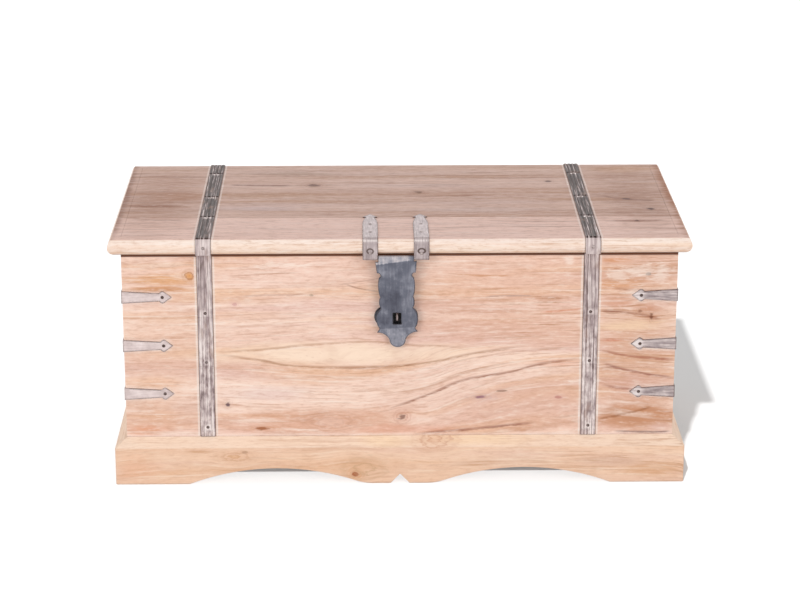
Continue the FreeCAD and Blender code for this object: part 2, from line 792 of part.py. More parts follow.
def hinge_leaf(label, centre, low_z, middle_knuckle):
    """A leaf with either the middle knuckle or the two outer ones."""
    thick = "dim.hinge_leaf_thickness"
    edge = "layout.hinge_leaf_edge"
    length, middle = "dim.hinge_length", "dim.hinge_middle_knuckle"
    parts = [block(
        f"{label}_plate", (length, f"{edge} - (layout.hinge_pin_y - dim.hinge_leaf_reach)", thick),
        (f"{centre} - {length} / 2", "layout.hinge_pin_y - dim.hinge_leaf_reach", low_z))]
    if middle_knuckle:
        spans = [(f"{centre} - {middle} / 2", middle)]
    else:
        outer = f"({length} - {middle}) / 2 - dim.hinge_side_gap"
        spans = [(f"{centre} - {length} / 2", outer),
                 (f"{centre} + {middle} / 2 + dim.hinge_side_gap", outer)]
    for index, (start, width) in enumerate(spans):
        parts.append(block(f"{label}_tab_{index}", (width, f"layout.hinge_pin_y - {edge}", thick),
                           (start, edge, low_z)))
        parts.append(rod(f"{label}_knuckle_{index}", "dim.hinge_knuckle_radius", width,
                         (start, "layout.hinge_pin_y", "layout.hinge_pin_z"), "x"))
    tools = [rod(f"{label}_bore", "dim.hinge_pin_radius + dim.pin_gap", f"{length} + 2 * {OVERRUN}",
                 (f"{centre} - {length} / 2 - {OVERRUN}", "layout.hinge_pin_y", "layout.hinge_pin_z"), "x")]
    head_low = low_z if middle_knuckle else f"{low_z} + {thick} - dim.hinge_nail_head_height"
    line = "layout.hinge_pin_y - dim.hinge_nail_line"
    holes = (("head", "dim.hinge_nail_head_half", "dim.hinge_nail_head_height", head_low),
             ("shank", "dim.nail_shank_half", thick, low_z))
    for index in (-1, 0, 1):
        spot = f"{centre} + {index} * dim.hinge_nail_spacing"
        for name, half, height, foot in holes:
            reach = f"({half} + dim.nail_gap)"
            tools.append(block(f"{label}_{name}_hole_{index + 1}", (f"2 * {reach}", f"2 * {reach}", height),
                               (f"{spot} - {reach}", f"{line} - {reach}", foot)))
    keep(label, cut(label, fuse(f"{label}_blank", parts), tools))


def hinge_nails(label, upward):
    """Flat-headed nails flush with a leaf's face, three to a leaf on both hinges."""
    head, rise = num("hinge_nail_head_half"), num("hinge_nail_head_height")
    shank, length = num("nail_shank_half"), num("nail_shank_length")
    solids = []
    for side in SIDES.values():
        for index in (-1, 0, 1):
            x = side * num("hinge_place") + index * num("hinge_nail_spacing")
            y = num("hinge_pin_y") - num("hinge_nail_line")
            z = num("hinge_pin_z")
            cap = Part.makeBox(2 * head, 2 * head, rise, V(x - head, y - head, z if upward else z - rise))
            stem_foot = V(x - shank, y - shank, z if upward else z - length)
            stem = Part.makeBox(2 * shank, 2 * shank, length, stem_foot)
            solids.append(cap.fuse(stem).removeSplitter().Solids[0])
    obj = keep(label, doc.addObject("Part::Feature", label))
    obj.Shape = Part.makeCompound(solids)


for side, centre in HINGES.items():
    hinge_leaf(f"hinge_lower_leaf_{side}", centre, "layout.lid_under - 2 * dim.hinge_leaf_thickness", False)
    hinge_leaf(f"hinge_upper_leaf_{side}", centre, "layout.hinge_pin_z", True)
    keep(f"hinge_pin_{side}", rod(
        f"hinge_pin_{side}", "dim.hinge_pin_radius", "dim.hinge_length",
        (f"{centre} - dim.hinge_length / 2", "layout.hinge_pin_y", "layout.hinge_pin_z"), "x"))
hinge_nails("hinge_lower_nails", upward=False)
hinge_nails("hinge_upper_nails", upward=True)


# Hasp straps on the lid, bent over its front edge and rolled round the hasp pin


def hasp_strap(side, sign):
    body = new_body(f"hasp_strap_{side}")
    centre = num("hasp_centre") + sign * num("hasp_strap_spacing") / 2
    reach, top, skin = num("half_depth"), num("chest_height"), num("strap_thickness")
    pin_y, pin_z = num("hasp_pin_y"), num("hasp_pin_z")
    tip_y = -reach + num("hasp_strap_reach")
    barb_y = tip_y - num("hasp_strap_head")
    shoulder_y = barb_y - num("hasp_strap_shoulder")
    half, neck = num("hasp_strap_width") / 2, num("hasp_strap_neck") / 2
    barb = num("hasp_strap_barb_width") / 2
    inner, outer = lid_edge(reach, 0.0), lid_edge(reach, skin)
    side_view = [(shoulder_y, top + skin)] + outer + [(-reach - skin, pin_z), (-reach, pin_z)]
    side_view += backwards(inner) + [(shoulder_y, top)]
    left = f"{centre} - dim.hasp_strap_width / 2"
    pad(body, "bend", "YZ_Plane", closed(side_view), left, "dim.hasp_strap_width")
    pad(body, "knuckle", "YZ_Plane", disc((pin_y, pin_z), num("hasp_knuckle_radius")), left,
        "dim.hasp_strap_width")
    ogive = ((neck + half) / 2 + num("hasp_strap_swell"), (shoulder_y + barb_y) / 2)
    head = [(half, shoulder_y), (ogive, (neck, barb_y)), (barb, barb_y), (0.0, tip_y)]
    head_outline = symmetric(head)
    for curve in head_outline:
        curve.translate(V(centre, 0, 0))
    pad(body, "head", "XY_Plane", head_outline, "dim.chest_height", "dim.strap_thickness")
    bore = disc((pin_y, pin_z), num("hasp_pin_radius") + num("pin_gap"))
    pocket(body, "bore", "YZ_Plane", bore, f"{left} + dim.hasp_strap_width + {OVERRUN}")
    places = [-reach + num("hasp_strap_nail_near"), -reach + num("hasp_strap_nail_far")]
    holes = []
    for place in places:
        holes += square((centre, place), nail_hole)
    pocket(body, "holes", "XY_Plane", holes, f"dim.chest_height + {STANDOFF}")
    leg_z = pin_z + num("hasp_strap_leg_nail")
    leg_hole = square((centre, leg_z), nail_hole)
    pocket(body, "leg_hole", "XZ_Plane", leg_hole, f"layout.half_depth + {STANDOFF}")
    spots = [((centre, place, top + skin), UP) for place in places]
    return spots + [((centre, -reach - skin, leg_z), FRONT)]


for side, sign in SIDES.items():
    lid_spots += hasp_strap(side, sign)
nail_group("lid_nails", lid_spots)

pin_run = "dim.hasp_strap_spacing + dim.hasp_strap_width"
keep("hasp_pin", rod("hasp_pin", "dim.hasp_pin_radius", pin_run,
                     (f"dim.hasp_centre - ({pin_run}) / 2", "layout.hasp_pin_y", "layout.hasp_pin_z"), "x"))


# Hasp plate: a scalloped sheet with a rolled top, hung on the pin


def hasp_outline():
    """Right side of the plate from the knuckle down to the tip, with the pin at the origin."""
    bite, bite_drop = num("hasp_bite_radius"), num("hasp_bite_drop")
    cheek, waist = num("hasp_cheek_half"), num("hasp_waist_half")
    swell = num("hasp_scallop_swell")
    knuckle, shoulder = num("hasp_knuckle_half"), num("hasp_shoulder_drop")
    bite_top, bite_foot = (cheek, bite - bite_drop), (waist, -bite - bite_drop)
    cusp = (num("hasp_first_cusp_half"), -num("hasp_first_cusp_drop"))
    second_cusp = (num("hasp_second_cusp_half"), -num("hasp_second_cusp_drop"))
    lobe_foot = (num("hasp_lobe_foot_half"), -num("hasp_lobe_foot_drop"))
    tip_neck = (num("hasp_tip_radius"), -num("hasp_tip_neck_drop"))
    barb = (num("hasp_barb_half"), -num("hasp_barb_drop"))

    def bulge(start, end, out):
        return ((start[0] + end[0]) / 2 + out, (start[1] + end[1]) / 2)

    lobe_middle = (num("hasp_lobe_half"), (second_cusp[1] + lobe_foot[1]) / 2)
    hollow = (tip_neck[0] + (barb[0] - tip_neck[0]) / 3, barb[1] + (tip_neck[1] - barb[1]) / 3)
    return [
        (knuckle, 0.0),
        (knuckle, -shoulder),
        (num("hasp_shoulder_half"), -shoulder),
        bite_top,
        (bulge(bite_top, bite_foot, -bite), bite_foot),
        (bulge(bite_foot, cusp, swell), cusp),
        (bulge(cusp, second_cusp, swell), second_cusp),
        (lobe_middle, lobe_foot),
        barb,
        (hollow, tip_neck),
        (polar((0.0, tip_neck[1]), -num("hasp_tip_radius"), 45), (0.0, tip_neck[1] - tip_neck[0])),
    ]


hasp = new_body("hasp_plate")
slot_half = num("hasp_slot_width") / 2
slot_low = -num("hasp_slot_drop") - num("hasp_slot_height") / 2
slot_high = -num("hasp_slot_drop") + num("hasp_slot_height") / 2
slot = closed([(-slot_half, slot_low), (slot_half, slot_low),
               (slot_half, slot_high), (-slot_half, slot_high)])
sheet_edges = symmetric(hasp_outline()) + slot
for curve in sheet_edges:
    curve.rotate(FreeCAD.Placement(V(), FreeCAD.Rotation(V(0, 0, 1), num("hasp_lean"))))
pad(hasp, "plate", "XZ_Plane", sheet_edges, "layout.hasp_plate_back", "dim.hasp_plate_thickness")
pad(hasp, "knuckle", "YZ_Plane", disc((0.0, 0.0), num("hasp_knuckle_radius")),
    "-layout.hasp_knuckle_half", "2 * layout.hasp_knuckle_half")
pocket(hasp, "bore", "YZ_Plane", disc((0.0, 0.0), num("hasp_pin_radius") + num("pin_gap")),
       f"layout.hasp_knuckle_half + {STANDOFF}")
hasp.Placement = FreeCAD.Placement(V(), FreeCAD.Rotation(V(1, 0, 0), num("hasp_rest_tilt")))
bind(hasp, BASE, ("dim.hasp_centre", "layout.hasp_pin_y", "layout.hasp_pin_z"))


# Staple: a bent square bar behind the hasp's slot, through a round-ended plate on the wall

plate_half = num("staple_plate_half_length")
plate_high = num("staple_plate_half_height")
staple_x = num("staple_place")
plate_x = staple_x + num("staple_plate_shift")
staple_z = num("staple_height")
straight = plate_half - plate_high
bar_half = num("staple_bar_half")
leg_gap = num("staple_leg_half_gap")
staple_plate = new_body("staple_plate")
stadium = chain([
    (plate_x - straight, staple_z - plate_high), (plate_x + straight, staple_z - plate_high),
    ((plate_x + plate_half, staple_z), (plate_x + straight, staple_z + plate_high)),
    (plate_x - straight, staple_z + plate_high),
    ((plate_x - plate_half, staple_z), (plate_x - straight, staple_z - plate_high)),
])
for sign in (-1, 1):
    stadium += square((staple_x, staple_z + sign * leg_gap), bar_half + num("nail_gap"))
    stadium += square((plate_x + sign * num("staple_plate_nail"), staple_z), nail_hole)
pad(staple_plate, "plate", "XZ_Plane", stadium, "layout.body_half_y", "dim.strap_thickness")

plate_face = -num("body_half_y") - num("strap_thickness")
nail_group("staple_plate_nails", [
    ((plate_x + sign * num("staple_plate_nail"), plate_face, staple_z), FRONT) for sign in (-1, 1)])

staple = new_body("staple")
bend_y = num("staple_bend_y")
leg_end = -num("body_half_y") + num("staple_leg_bite")
outside, inside = leg_gap + bar_half, leg_gap - bar_half
loop = closed([
    (leg_end, staple_z - outside), (bend_y, staple_z - outside),
    ((bend_y - outside, staple_z), (bend_y, staple_z + outside)),
    (leg_end, staple_z + outside), (leg_end, staple_z + inside), (bend_y, staple_z + inside),
    ((bend_y - inside, staple_z), (bend_y, staple_z - inside)),
    (leg_end, staple_z - inside),
])
pad(staple, "loop", "YZ_Plane", loop, "layout.staple_place - dim.staple_bar_half", "2 * dim.staple_bar_half")


# Every feature has to stand and every pocket has to bite before anything is written.

doc.recompute()
for obj in doc.Objects:
    if "Invalid" in obj.State or "Error" in obj.State:
        raise RuntimeError(f"{obj.Name} failed: {obj.State}")
for feature in pockets:
    if feature.Shape.Volume > feature.BaseFeature.Shape.Volume - 1e-3:
        raise RuntimeError(f"{feature.Name} cuts nothing")

os.makedirs("parts", exist_ok=True)
for label, obj in pieces.items():
    shape = obj.Shape
    if shape.isNull() or not shape.isValid() or not shape.Solids:
        raise RuntimeError(f"{label} has no valid solid")
    shape.exportStep(f"parts/{label}.step")
print(f"{len(pieces)} pieces written")
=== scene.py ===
import math

import bpy
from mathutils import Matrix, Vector

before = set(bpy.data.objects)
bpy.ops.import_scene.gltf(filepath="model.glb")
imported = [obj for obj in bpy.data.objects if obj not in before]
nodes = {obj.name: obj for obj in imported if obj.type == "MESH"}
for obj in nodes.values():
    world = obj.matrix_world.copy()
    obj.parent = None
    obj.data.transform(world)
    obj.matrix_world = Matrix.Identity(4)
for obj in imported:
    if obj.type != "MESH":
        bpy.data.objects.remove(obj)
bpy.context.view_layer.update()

print("frame:", len(nodes), "nodes")


def linear(level):
    share = level / 255
    return share / 12.92 if share <= 0.04045 else ((share + 0.055) / 1.055) ** 2.4


def tone(red, green, blue):
    return (linear(red), linear(green), linear(blue), 1.0)


class Wire:
    # a value socket that takes part in sums
    def __init__(self, paint, socket):
        self.paint = paint
        self.socket = socket

    def maths(self, operation, first, second=0.0):
        return self.paint.node("ShaderNodeMath", {"operation": operation}, {0: first, 1: second})

    def __add__(self, other):
        return self.maths("ADD", self, other)

    def __sub__(self, other):
        return self.maths("SUBTRACT", self, other)

    def __rsub__(self, other):
        return self.maths("SUBTRACT", other, self)

    def __mul__(self, other):
        return self.maths("MULTIPLY", self, other)

    def __truediv__(self, other):
        return self.maths("DIVIDE", self, other)

    def __abs__(self):
        return self.maths("ABSOLUTE", self)

    __radd__ = __add__
    __rmul__ = __mul__


class Paint:
    def __init__(self, tree):
        self.tree = tree
        tree.nodes.clear()

    def node(self, kind, settings=None, sockets=None, out=0):
        made = self.tree.nodes.new(kind)
        for key, value in (settings or {}).items():
            if key == "stops":
                ramp = made.color_ramp
                for place, colour in value[2:]:
                    ramp.elements.new(place).color = colour
                for element, (place, colour) in zip((ramp.elements[0], ramp.elements[-1]), value[:2]):
                    element.position, element.color = place, colour
            elif key == "points":
                curve = made.mapping.curves[0]
                curve.points[0].location, curve.points[1].location = value[0], value[-1]
                for point in value[1:-1]:
                    curve.points.new(*point)
                made.mapping.update()
            else:
                setattr(made, key, value)
        for key, value in (sockets or {}).items():
            if isinstance(value, Wire):
                self.tree.links.new(value.socket, made.inputs[key])
            else:
                made.inputs[key].default_value = value
        return Wire(self, made.outputs[out])

    def spot(self, x, y, z):
        return self.node("ShaderNodeCombineXYZ", {}, {0: x, 1: y, 2: z})

    def noise(self, spot, detail=2.0, rough=0.5):
        sockets = {"Vector": spot, "Scale": 1.0, "Detail": detail, "Roughness": rough}
        return self.node("ShaderNodeTexNoise", {"noise_dimensions": "3D"}, sockets)

    def step(self, value, low, high):
        # 0 up to low, 1 from high on, soft between; low may be the larger one
        sockets = {"Value": value, "From Min": low, "From Max": high}
        return self.node("ShaderNodeMapRange", {"interpolation_type": "SMOOTHSTEP"}, sockets)

    def mix(self, share, first, second):
        return self.node("ShaderNodeMix", {"data_type": "RGBA"}, {0: share, 6: first, 7: second}, 2)

    def most(self, first, second):
        return self.node("ShaderNodeMath", {"operation": "MAXIMUM"}, {0: first, 1: second})

    def part(self, value):
        return self.node("ShaderNodeMath", {"operation": "FRACT"}, {0: value})

    def bell(self, value):
        # 1 at nought, fading away on both sides
        return self.node("ShaderNodeMath", {"operation": "EXPONENT"}, {0: value * value * -1})

    def swing(self, value):
        # from -1 to 1 through nought
        return self.node("ShaderNodeMath", {"operation": "TANH"}, {0: value})

    def curve(self, value, path):
        # a smooth height over a run of (place, height) points
        first, last = path[0][0], path[-1][0]
        low = min(point[1] for point in path)
        tall = max(point[1] for point in path) - low + 0.0001
        points = [((place - first) / (last - first), (height - low) / tall) for place, height in path]
        share = self.node("ShaderNodeMapRange", {}, {"Value": value, "From Min": first, "From Max": last})
        height = self.node("ShaderNodeFloatCurve", {"points": points}, {"Value": share})
        return self.node("ShaderNodeMath", {"operation": "MULTIPLY_ADD"}, {0: height, 1: tall, 2: low})

    def oval(self, place, mark):
        # distance from the middle of an oval, 1 on its edge; mark is (u, v, half length, half width)
        u, v, half, high = mark
        sockets = {0: place, 1: (1 / half, 1 / high, 0), 2: (-u / half, -v / high, 0)}
        near = self.node("ShaderNodeVectorMath", {"operation": "MULTIPLY_ADD"}, sockets)
        return self.node("ShaderNodeVectorMath", {"operation": "LENGTH"}, {0: near}, "Value")

    def blot(self, place, mark, fray=0.0):
        # 1 in the middle of an oval, 0 outside it
        return self.step(self.oval(place, mark) + fray, 1.0, 0.15)

    def bump(self, height, strength, distance):
        return self.node("ShaderNodeBump", {}, {"Strength": strength, "Distance": distance, "Height": height})

    def nearby(self, distance):
        # 0 in a crease, 1 in the open
        return self.node("ShaderNodeAmbientOcclusion", {"samples": 6}, {"Distance": distance}, "AO")

    def border(self, reach):
        # 1 along a piece's own sharp edges, 0 away from them
        soft = self.node("ShaderNodeBevel", {"samples": 4}, {"Radius": reach})
        plain = self.node("ShaderNodeNewGeometry", {}, {}, "Normal")
        alike = self.node("ShaderNodeVectorMath", {"operation": "DOT_PRODUCT"}, {0: soft, 1: plain}, "Value")
        return self.step(alike, 0.998, 0.94)

    def close(self, shader, kind="ShaderNodeOutputMaterial"):
        self.tree.links.new(shader.socket, self.tree.nodes.new(kind).inputs["Surface"])


class Finish(Paint):
    # one material with a principled shader, painted in the chest's own metres
    def __init__(self, name, fixed):
        self.material = bpy.data.materials.new(name)
        self.material.use_nodes = True
        super().__init__(self.material.node_tree)
        self.fixed = fixed
        place = self.node("ShaderNodeTexCoord", {}, {}, "Object")
        parts = self.node("ShaderNodeSeparateXYZ", {}, {0: place}).socket.node.outputs
        self.x, self.y, self.z = (Wire(self, part) for part in parts)

    def done(self, colour, rough, normal):
        varied = {"Base Color": colour, "Roughness": rough, "Normal": normal}
        self.close(self.node("ShaderNodeBsdfPrincipled", {}, {**self.fixed, **varied}))
        return self.material


# wood: how often each layer of the grain repeats along and across a board, and the levels it shows between
woodGrain = {
    "ground": {"along": 1.5, "across": 17, "shift": 3, "from": 0.38, "to": 0.62},
    "warm": {"along": 2.0, "across": 34, "shift": 17, "detail": 3.0, "from": 0.49, "to": 0.66},
    "rose": {"along": 2.4, "across": 27, "shift": 37, "detail": 3.0, "from": 0.50, "to": 0.68},
    "lively": {"along": 2.7, "across": 21, "shift": 9, "from": 0.36, "to": 0.62},
    "wide": {"along": 5.0, "across": 125, "shift": 51, "detail": 3.0, "rough": 0.55, "from": 0.53, "to": 0.72},
    "thin": {"along": 11, "across": 330, "shift": 63, "from": 0.54, "to": 0.70},
    "light": {"along": 7.0, "across": 200, "shift": 77, "from": 0.56, "to": 0.70},
    "mottle": {"along": 13, "across": 52, "shift": 91, "detail": 4.0, "rough": 0.62, "from": 0.5, "to": 0.72},
    "fleck": {"along": 58, "across": 270, "shift": 101, "detail": 4.0, "rough": 0.7},
    "fibre": {"along": 24, "across": 850, "shift": 0, "rough": 0.6},
    "pores": {"along": 70, "across": 1500, "shift": 5, "detail": 1.0, "from": 0.62, "to": 0.74},
    "chalk": {"along": 9, "across": 62, "shift": 31, "detail": 4.0, "rough": 0.65},
}
# marks on the wood: soft edges as (from, to), reaches in metres
woodMarks = {
    "swayAlong": 2.2, "swayAcross": 9, "tremorAlong": 13, "tremorAcross": 70, "tremor": 0.004,
    "figureEdge": 0.003, "stripEdge": 0.0006, "darkFleck": (0.5, 0.68), "paleFleck": (0.5, 0.32),
    "fibre": (0.48, 0.78), "broken": (0.36, 0.6), "lineEdge": (1.0, 0.05), "lineEnds": (0.5, 0.34),
    "knotHalo": (3.2, 0.9), "knotRing": (0.4, 0.95), "knotCore": (1.15, 0.45), "knotTurns": 1.4,
    "chalkFade": 0.16, "creaseReach": 0.007, "crease": (0.66, 0.3),
    "limeGap": 0.0022, "limeRagged": 0.0022, "lime": (0.0021, 0.0004), "limeBelow": (0.370, 0.366),
    "limeNear": (0.66, 0.78), "limeFar": (0.97, 0.9), "gloss": 0.22, "relief": 0.22, "reliefDepth": 0.0012,
}


# the grain runs along u, and bends round figures and knots in the board's face
def woodLayers(paint, look):
    marks = woodMarks
    u, v, w = (getattr(paint, letter) for letter in look["axes"])
    shifted = u + look["seed"]

    flow = v  # the height that a grain line keeps along the board
    for figure in look.get("figures", ()):
        reach = paint.bell((u - figure["at"][0]) / figure["length"]) * figure["half"]
        off = v - figure["at"][1]
        bend = paint.swing(off / (reach + marks["figureEdge"])) * reach
        flow = flow - bend * paint.bell(off / figure["fade"])
    if "climb" in look:
        climb = look["climb"]
        flow = flow - paint.curve(u, climb["path"]) * paint.bell((v - climb["at"]) / climb["fade"])
    flat, bent = paint.spot(u, v, 0.0), paint.spot(u, flow, 0.0)
    along, across = marks["swayAlong"], marks["swayAcross"]
    sway = paint.noise(paint.spot(shifted * along, v * across, w * across)) - 0.5
    along, across = marks["tremorAlong"], marks["tremorAcross"]
    tremor = paint.noise(paint.spot(shifted * along, flow * across, w * across)) - 0.5
    grain = flow + sway * look["sway"] + tremor * marks["tremor"]

    def layer(name, height=grain):
        mark = woodGrain[name]
        across = mark["across"]
        place = paint.spot(shifted * mark["along"] + mark["shift"], height * across, w * across)
        found = paint.noise(place, mark.get("detail", 2.0), mark.get("rough", 0.5))
        return paint.step(found, mark["from"], mark["to"]) if "from" in mark else found

    colour = paint.mix(layer("ground"), look["main"], look["pale"])
    colour = paint.mix(layer("warm") * look["warmShare"], colour, look["warm"])
    colour = paint.mix(layer("rose") * look["roseShare"], colour, look["rose"])
    soft = marks["stripEdge"]
    for strip in look.get("strips", ()):
        inside = paint.step(v, strip["from"] - soft, strip["from"] + soft)
        inside = inside * paint.step(v, strip["to"] + soft, strip["to"] - soft)
        colour = paint.mix(inside * strip["share"], colour, strip["tone"])
    calm, fray = 1.0, tremor * 0.9 + sway * 0.6
    for patch in look.get("patches", ()):
        shown = paint.blot(bent if patch.get("bent") else flat, patch["at"], fray)
        colour = paint.mix(shown * patch["share"], colour, patch["tone"])
        if "calm" in patch:
            calm = calm * (1 - shown * patch["calm"])

    lively = (layer("lively") * 0.75 + 0.25) * calm
    if "rougher" in look:
        rougher = look["rougher"]
        lively = lively * (paint.step(u, rougher["from"], rougher["to"]) * rougher["gain"] + 1)
    wide, thin, light, mottle = layer("wide"), layer("thin"), layer("light"), layer("mottle")
    fleck = layer("fleck", grain * 0.4 + v * 0.6)
    fibre, pores = layer("fibre"), layer("pores")
    colour = paint.mix(wide * lively * look["wideShare"], colour, look["dark"])
    colour = paint.mix(mottle * look["mottleShare"], colour, look["dark"])
    colour = paint.mix(light * look["lightShare"], colour, look["wash"])
    colour = paint.mix(thin * lively * look["thinShare"], colour, look["dark"])
    flecked = calm * look["fleckShare"]
    colour = paint.mix(paint.step(fleck, *marks["darkFleck"]) * flecked, colour, look["dark"])
    colour = paint.mix(paint.step(fleck, *marks["paleFleck"]) * flecked, colour, look["wash"])
    colour = paint.mix(paint.step(fibre, *marks["fibre"]) * look["fibreShare"], colour, look["dark"])
    colour = paint.mix(pores * look["poreShare"], colour, look["dark"])

    # dark lines drawn along the grain, uneven and broken
    broken = thin * 0.3 + paint.step(fleck, *marks["broken"]) * 0.35 + 0.5
    drift = v + tremor * 0.005 + (fleck - 0.5) * 0.004
    for line in look.get("lines", ()):
        first, last = line["path"][0][0], line["path"][-1][0]
        gap = abs(drift - paint.curve(u, line["path"])) / line["width"]
        ends = paint.step(abs((u - first) / (last - first) - 0.5), *marks["lineEnds"])
        shown = paint.step(gap, *marks["lineEdge"]) * ends * broken
        colour = paint.mix(shown * line["share"], colour, line["tone"])
    ragged = fray * 1.6 + (fleck - 0.5) * 2.2
    for knot in look.get("knots", ()):
        span = paint.oval(flat, knot["at"]) + ragged
        turns = paint.step(paint.part(span * knot.get("turns", marks["knotTurns"])), *marks["knotRing"])
        halo = paint.step(span, *marks["knotHalo"]) * (turns * 0.7 + 0.3)
        colour = paint.mix(halo * knot["halo"], colour, knot["ring"])
        colour = paint.mix(paint.step(span, *marks["knotCore"]) * knot["share"], colour, knot["tone"])

    # lime wash: flakes and what is left along the irons; then painted shadow under the lid's edge and painted
    # shade in the creases
    chalk = paint.step(layer("chalk"), look["chalkFrom"], look["chalkFrom"] + marks["chalkFade"])
    flaked = tremor * 1.4 + (fleck - 0.5) * 2.4
    for spot in look.get("limed", ()):
        chalk = paint.most(chalk, paint.blot(flat, spot, flaked))
    colour = paint.mix(chalk * look["chalkShare"], colour, look["wash"])
    clear = paint.nearby(marks["creaseReach"])
    if "limeShare" in look:
        across = abs(abs(paint.x + bandLook["shift"]) - bandLook["middle"])
        rim = abs(across - bandLook["half"] - marks["limeGap"]) + tremor * marks["limeRagged"]
        rim = paint.step(rim, *marks["lime"]) * (light * 0.4 + 0.6)
        edge = paint.step(clear, *marks["limeNear"]) * paint.step(clear, *marks["limeFar"])
        edge = edge * paint.step(paint.z, *marks["limeBelow"])
        colour = paint.mix(paint.most(rim, edge * 0.5) * look["limeShare"], colour, look["lime"])
    # painted shadow bands along the height, such as the dark line under the lid's edge
    for shade in look.get("paintedShadows", ()):
        shadowed = paint.step(v + tremor * 0.001, shade["from"], shade["to"])
        shadowed = shadowed * paint.step(v, shade["gone"], shade["full"])
        colour = paint.mix(shadowed * shade["share"], colour, look["shadeAndDirt"])
    # painted shade: darker where nearby parts hem the surface in
    colour = paint.mix(paint.step(clear, *marks["crease"]) * look["creaseShade"], colour, look["shadeAndDirt"])

    height = fibre * 0.4 + thin * -0.35 + wide * -0.25 + light * 0.2 - pores * 0.3
    rough = 0.64 + (fibre - 0.5) * 0.2 - chalk * 0.05
    return colour, rough, height


def woodPaint(name, look, over=None):
    # over is a second look that takes the board's other faces, from a place along an axis
    paint = Finish(name, {"Specular IOR Level": woodMarks["gloss"]})
    colour, rough, height = woodLayers(paint, look)
    if over:
        share = paint.step(getattr(paint, over["axis"]), over["from"], over["to"])
        overColour, overRough, overHeight = woodLayers(paint, over["look"])
        colour = paint.mix(share, colour, overColour)
        rough = rough + (overRough - rough) * share
        height = height + (overHeight - height) * share
    return paint.done(colour, rough, paint.bump(height, woodMarks["relief"], woodMarks["reliefDepth"]))


# the bands: places and reaches in metres, lifts towards the bright end of the stops
bandLook = {
    "shift": 0.003, "middle": 0.3, "half": 0.012, "reed": 0.006, "topFrom": 0.4026, "legFrom": 0.3764,
    "metal": 0.2, "gloss": 0.28, "rough": 0.52, "relief": 0.35, "reliefDepth": 0.0008,
    "streaks": (430, 10), "fine": (1100, 40), "blobs": (130, 60), "rustSpots": (90, 30),
    "streakShare": 1.1, "legStreaks": 0.5, "topStreaks": 2.4,
    "blobShare": 0.5, "lowBlobs": 0.6, "fineShare": 0.4,
    "low": (0.31, 0.19), "end": (-0.12, -0.17),
    "frontLift": 0.06, "lowLift": 0.06, "topLift": -0.47, "endLift": 0.2, "legLift": 0.05,
    "frontNails": (0.279, 0.199, 0.09), "frontNailMark": (0.0075, 0.008), "frontNailLift": 0.18,
    "lidNails": (-0.105, 0.012, 0.157), "lidNailMark": (0.009, 0.007), "lidNailLift": 0.8,
    "stops": [(0.0, tone(46, 28, 23)), (0.8, tone(240, 228, 224)), (0.2, tone(84, 66, 62)),
              (0.38, tone(132, 114, 112)), (0.50, tone(172, 154, 154)), (0.62, tone(205, 188, 185))],
    "groove": tone(96, 74, 66), "grooveShare": 0.45, "grooveFrom": 0.36, "grooveTo": 0.49,
    "rim": tone(86, 66, 60), "rimShare": 0.7, "topRimShare": 0.2, "rimFrom": 0.0016, "rimTo": 0.0003,
    "rust": tone(150, 116, 100), "rustShare": 0.45, "rustEdge": (0.56, 0.72),
    "shadeAndDirt": tone(60, 42, 36), "creaseShade": 0.7, "topCreaseShadeCut": 0.85, "creaseReach": 0.003, "crease": (0.8, 0.3),
}

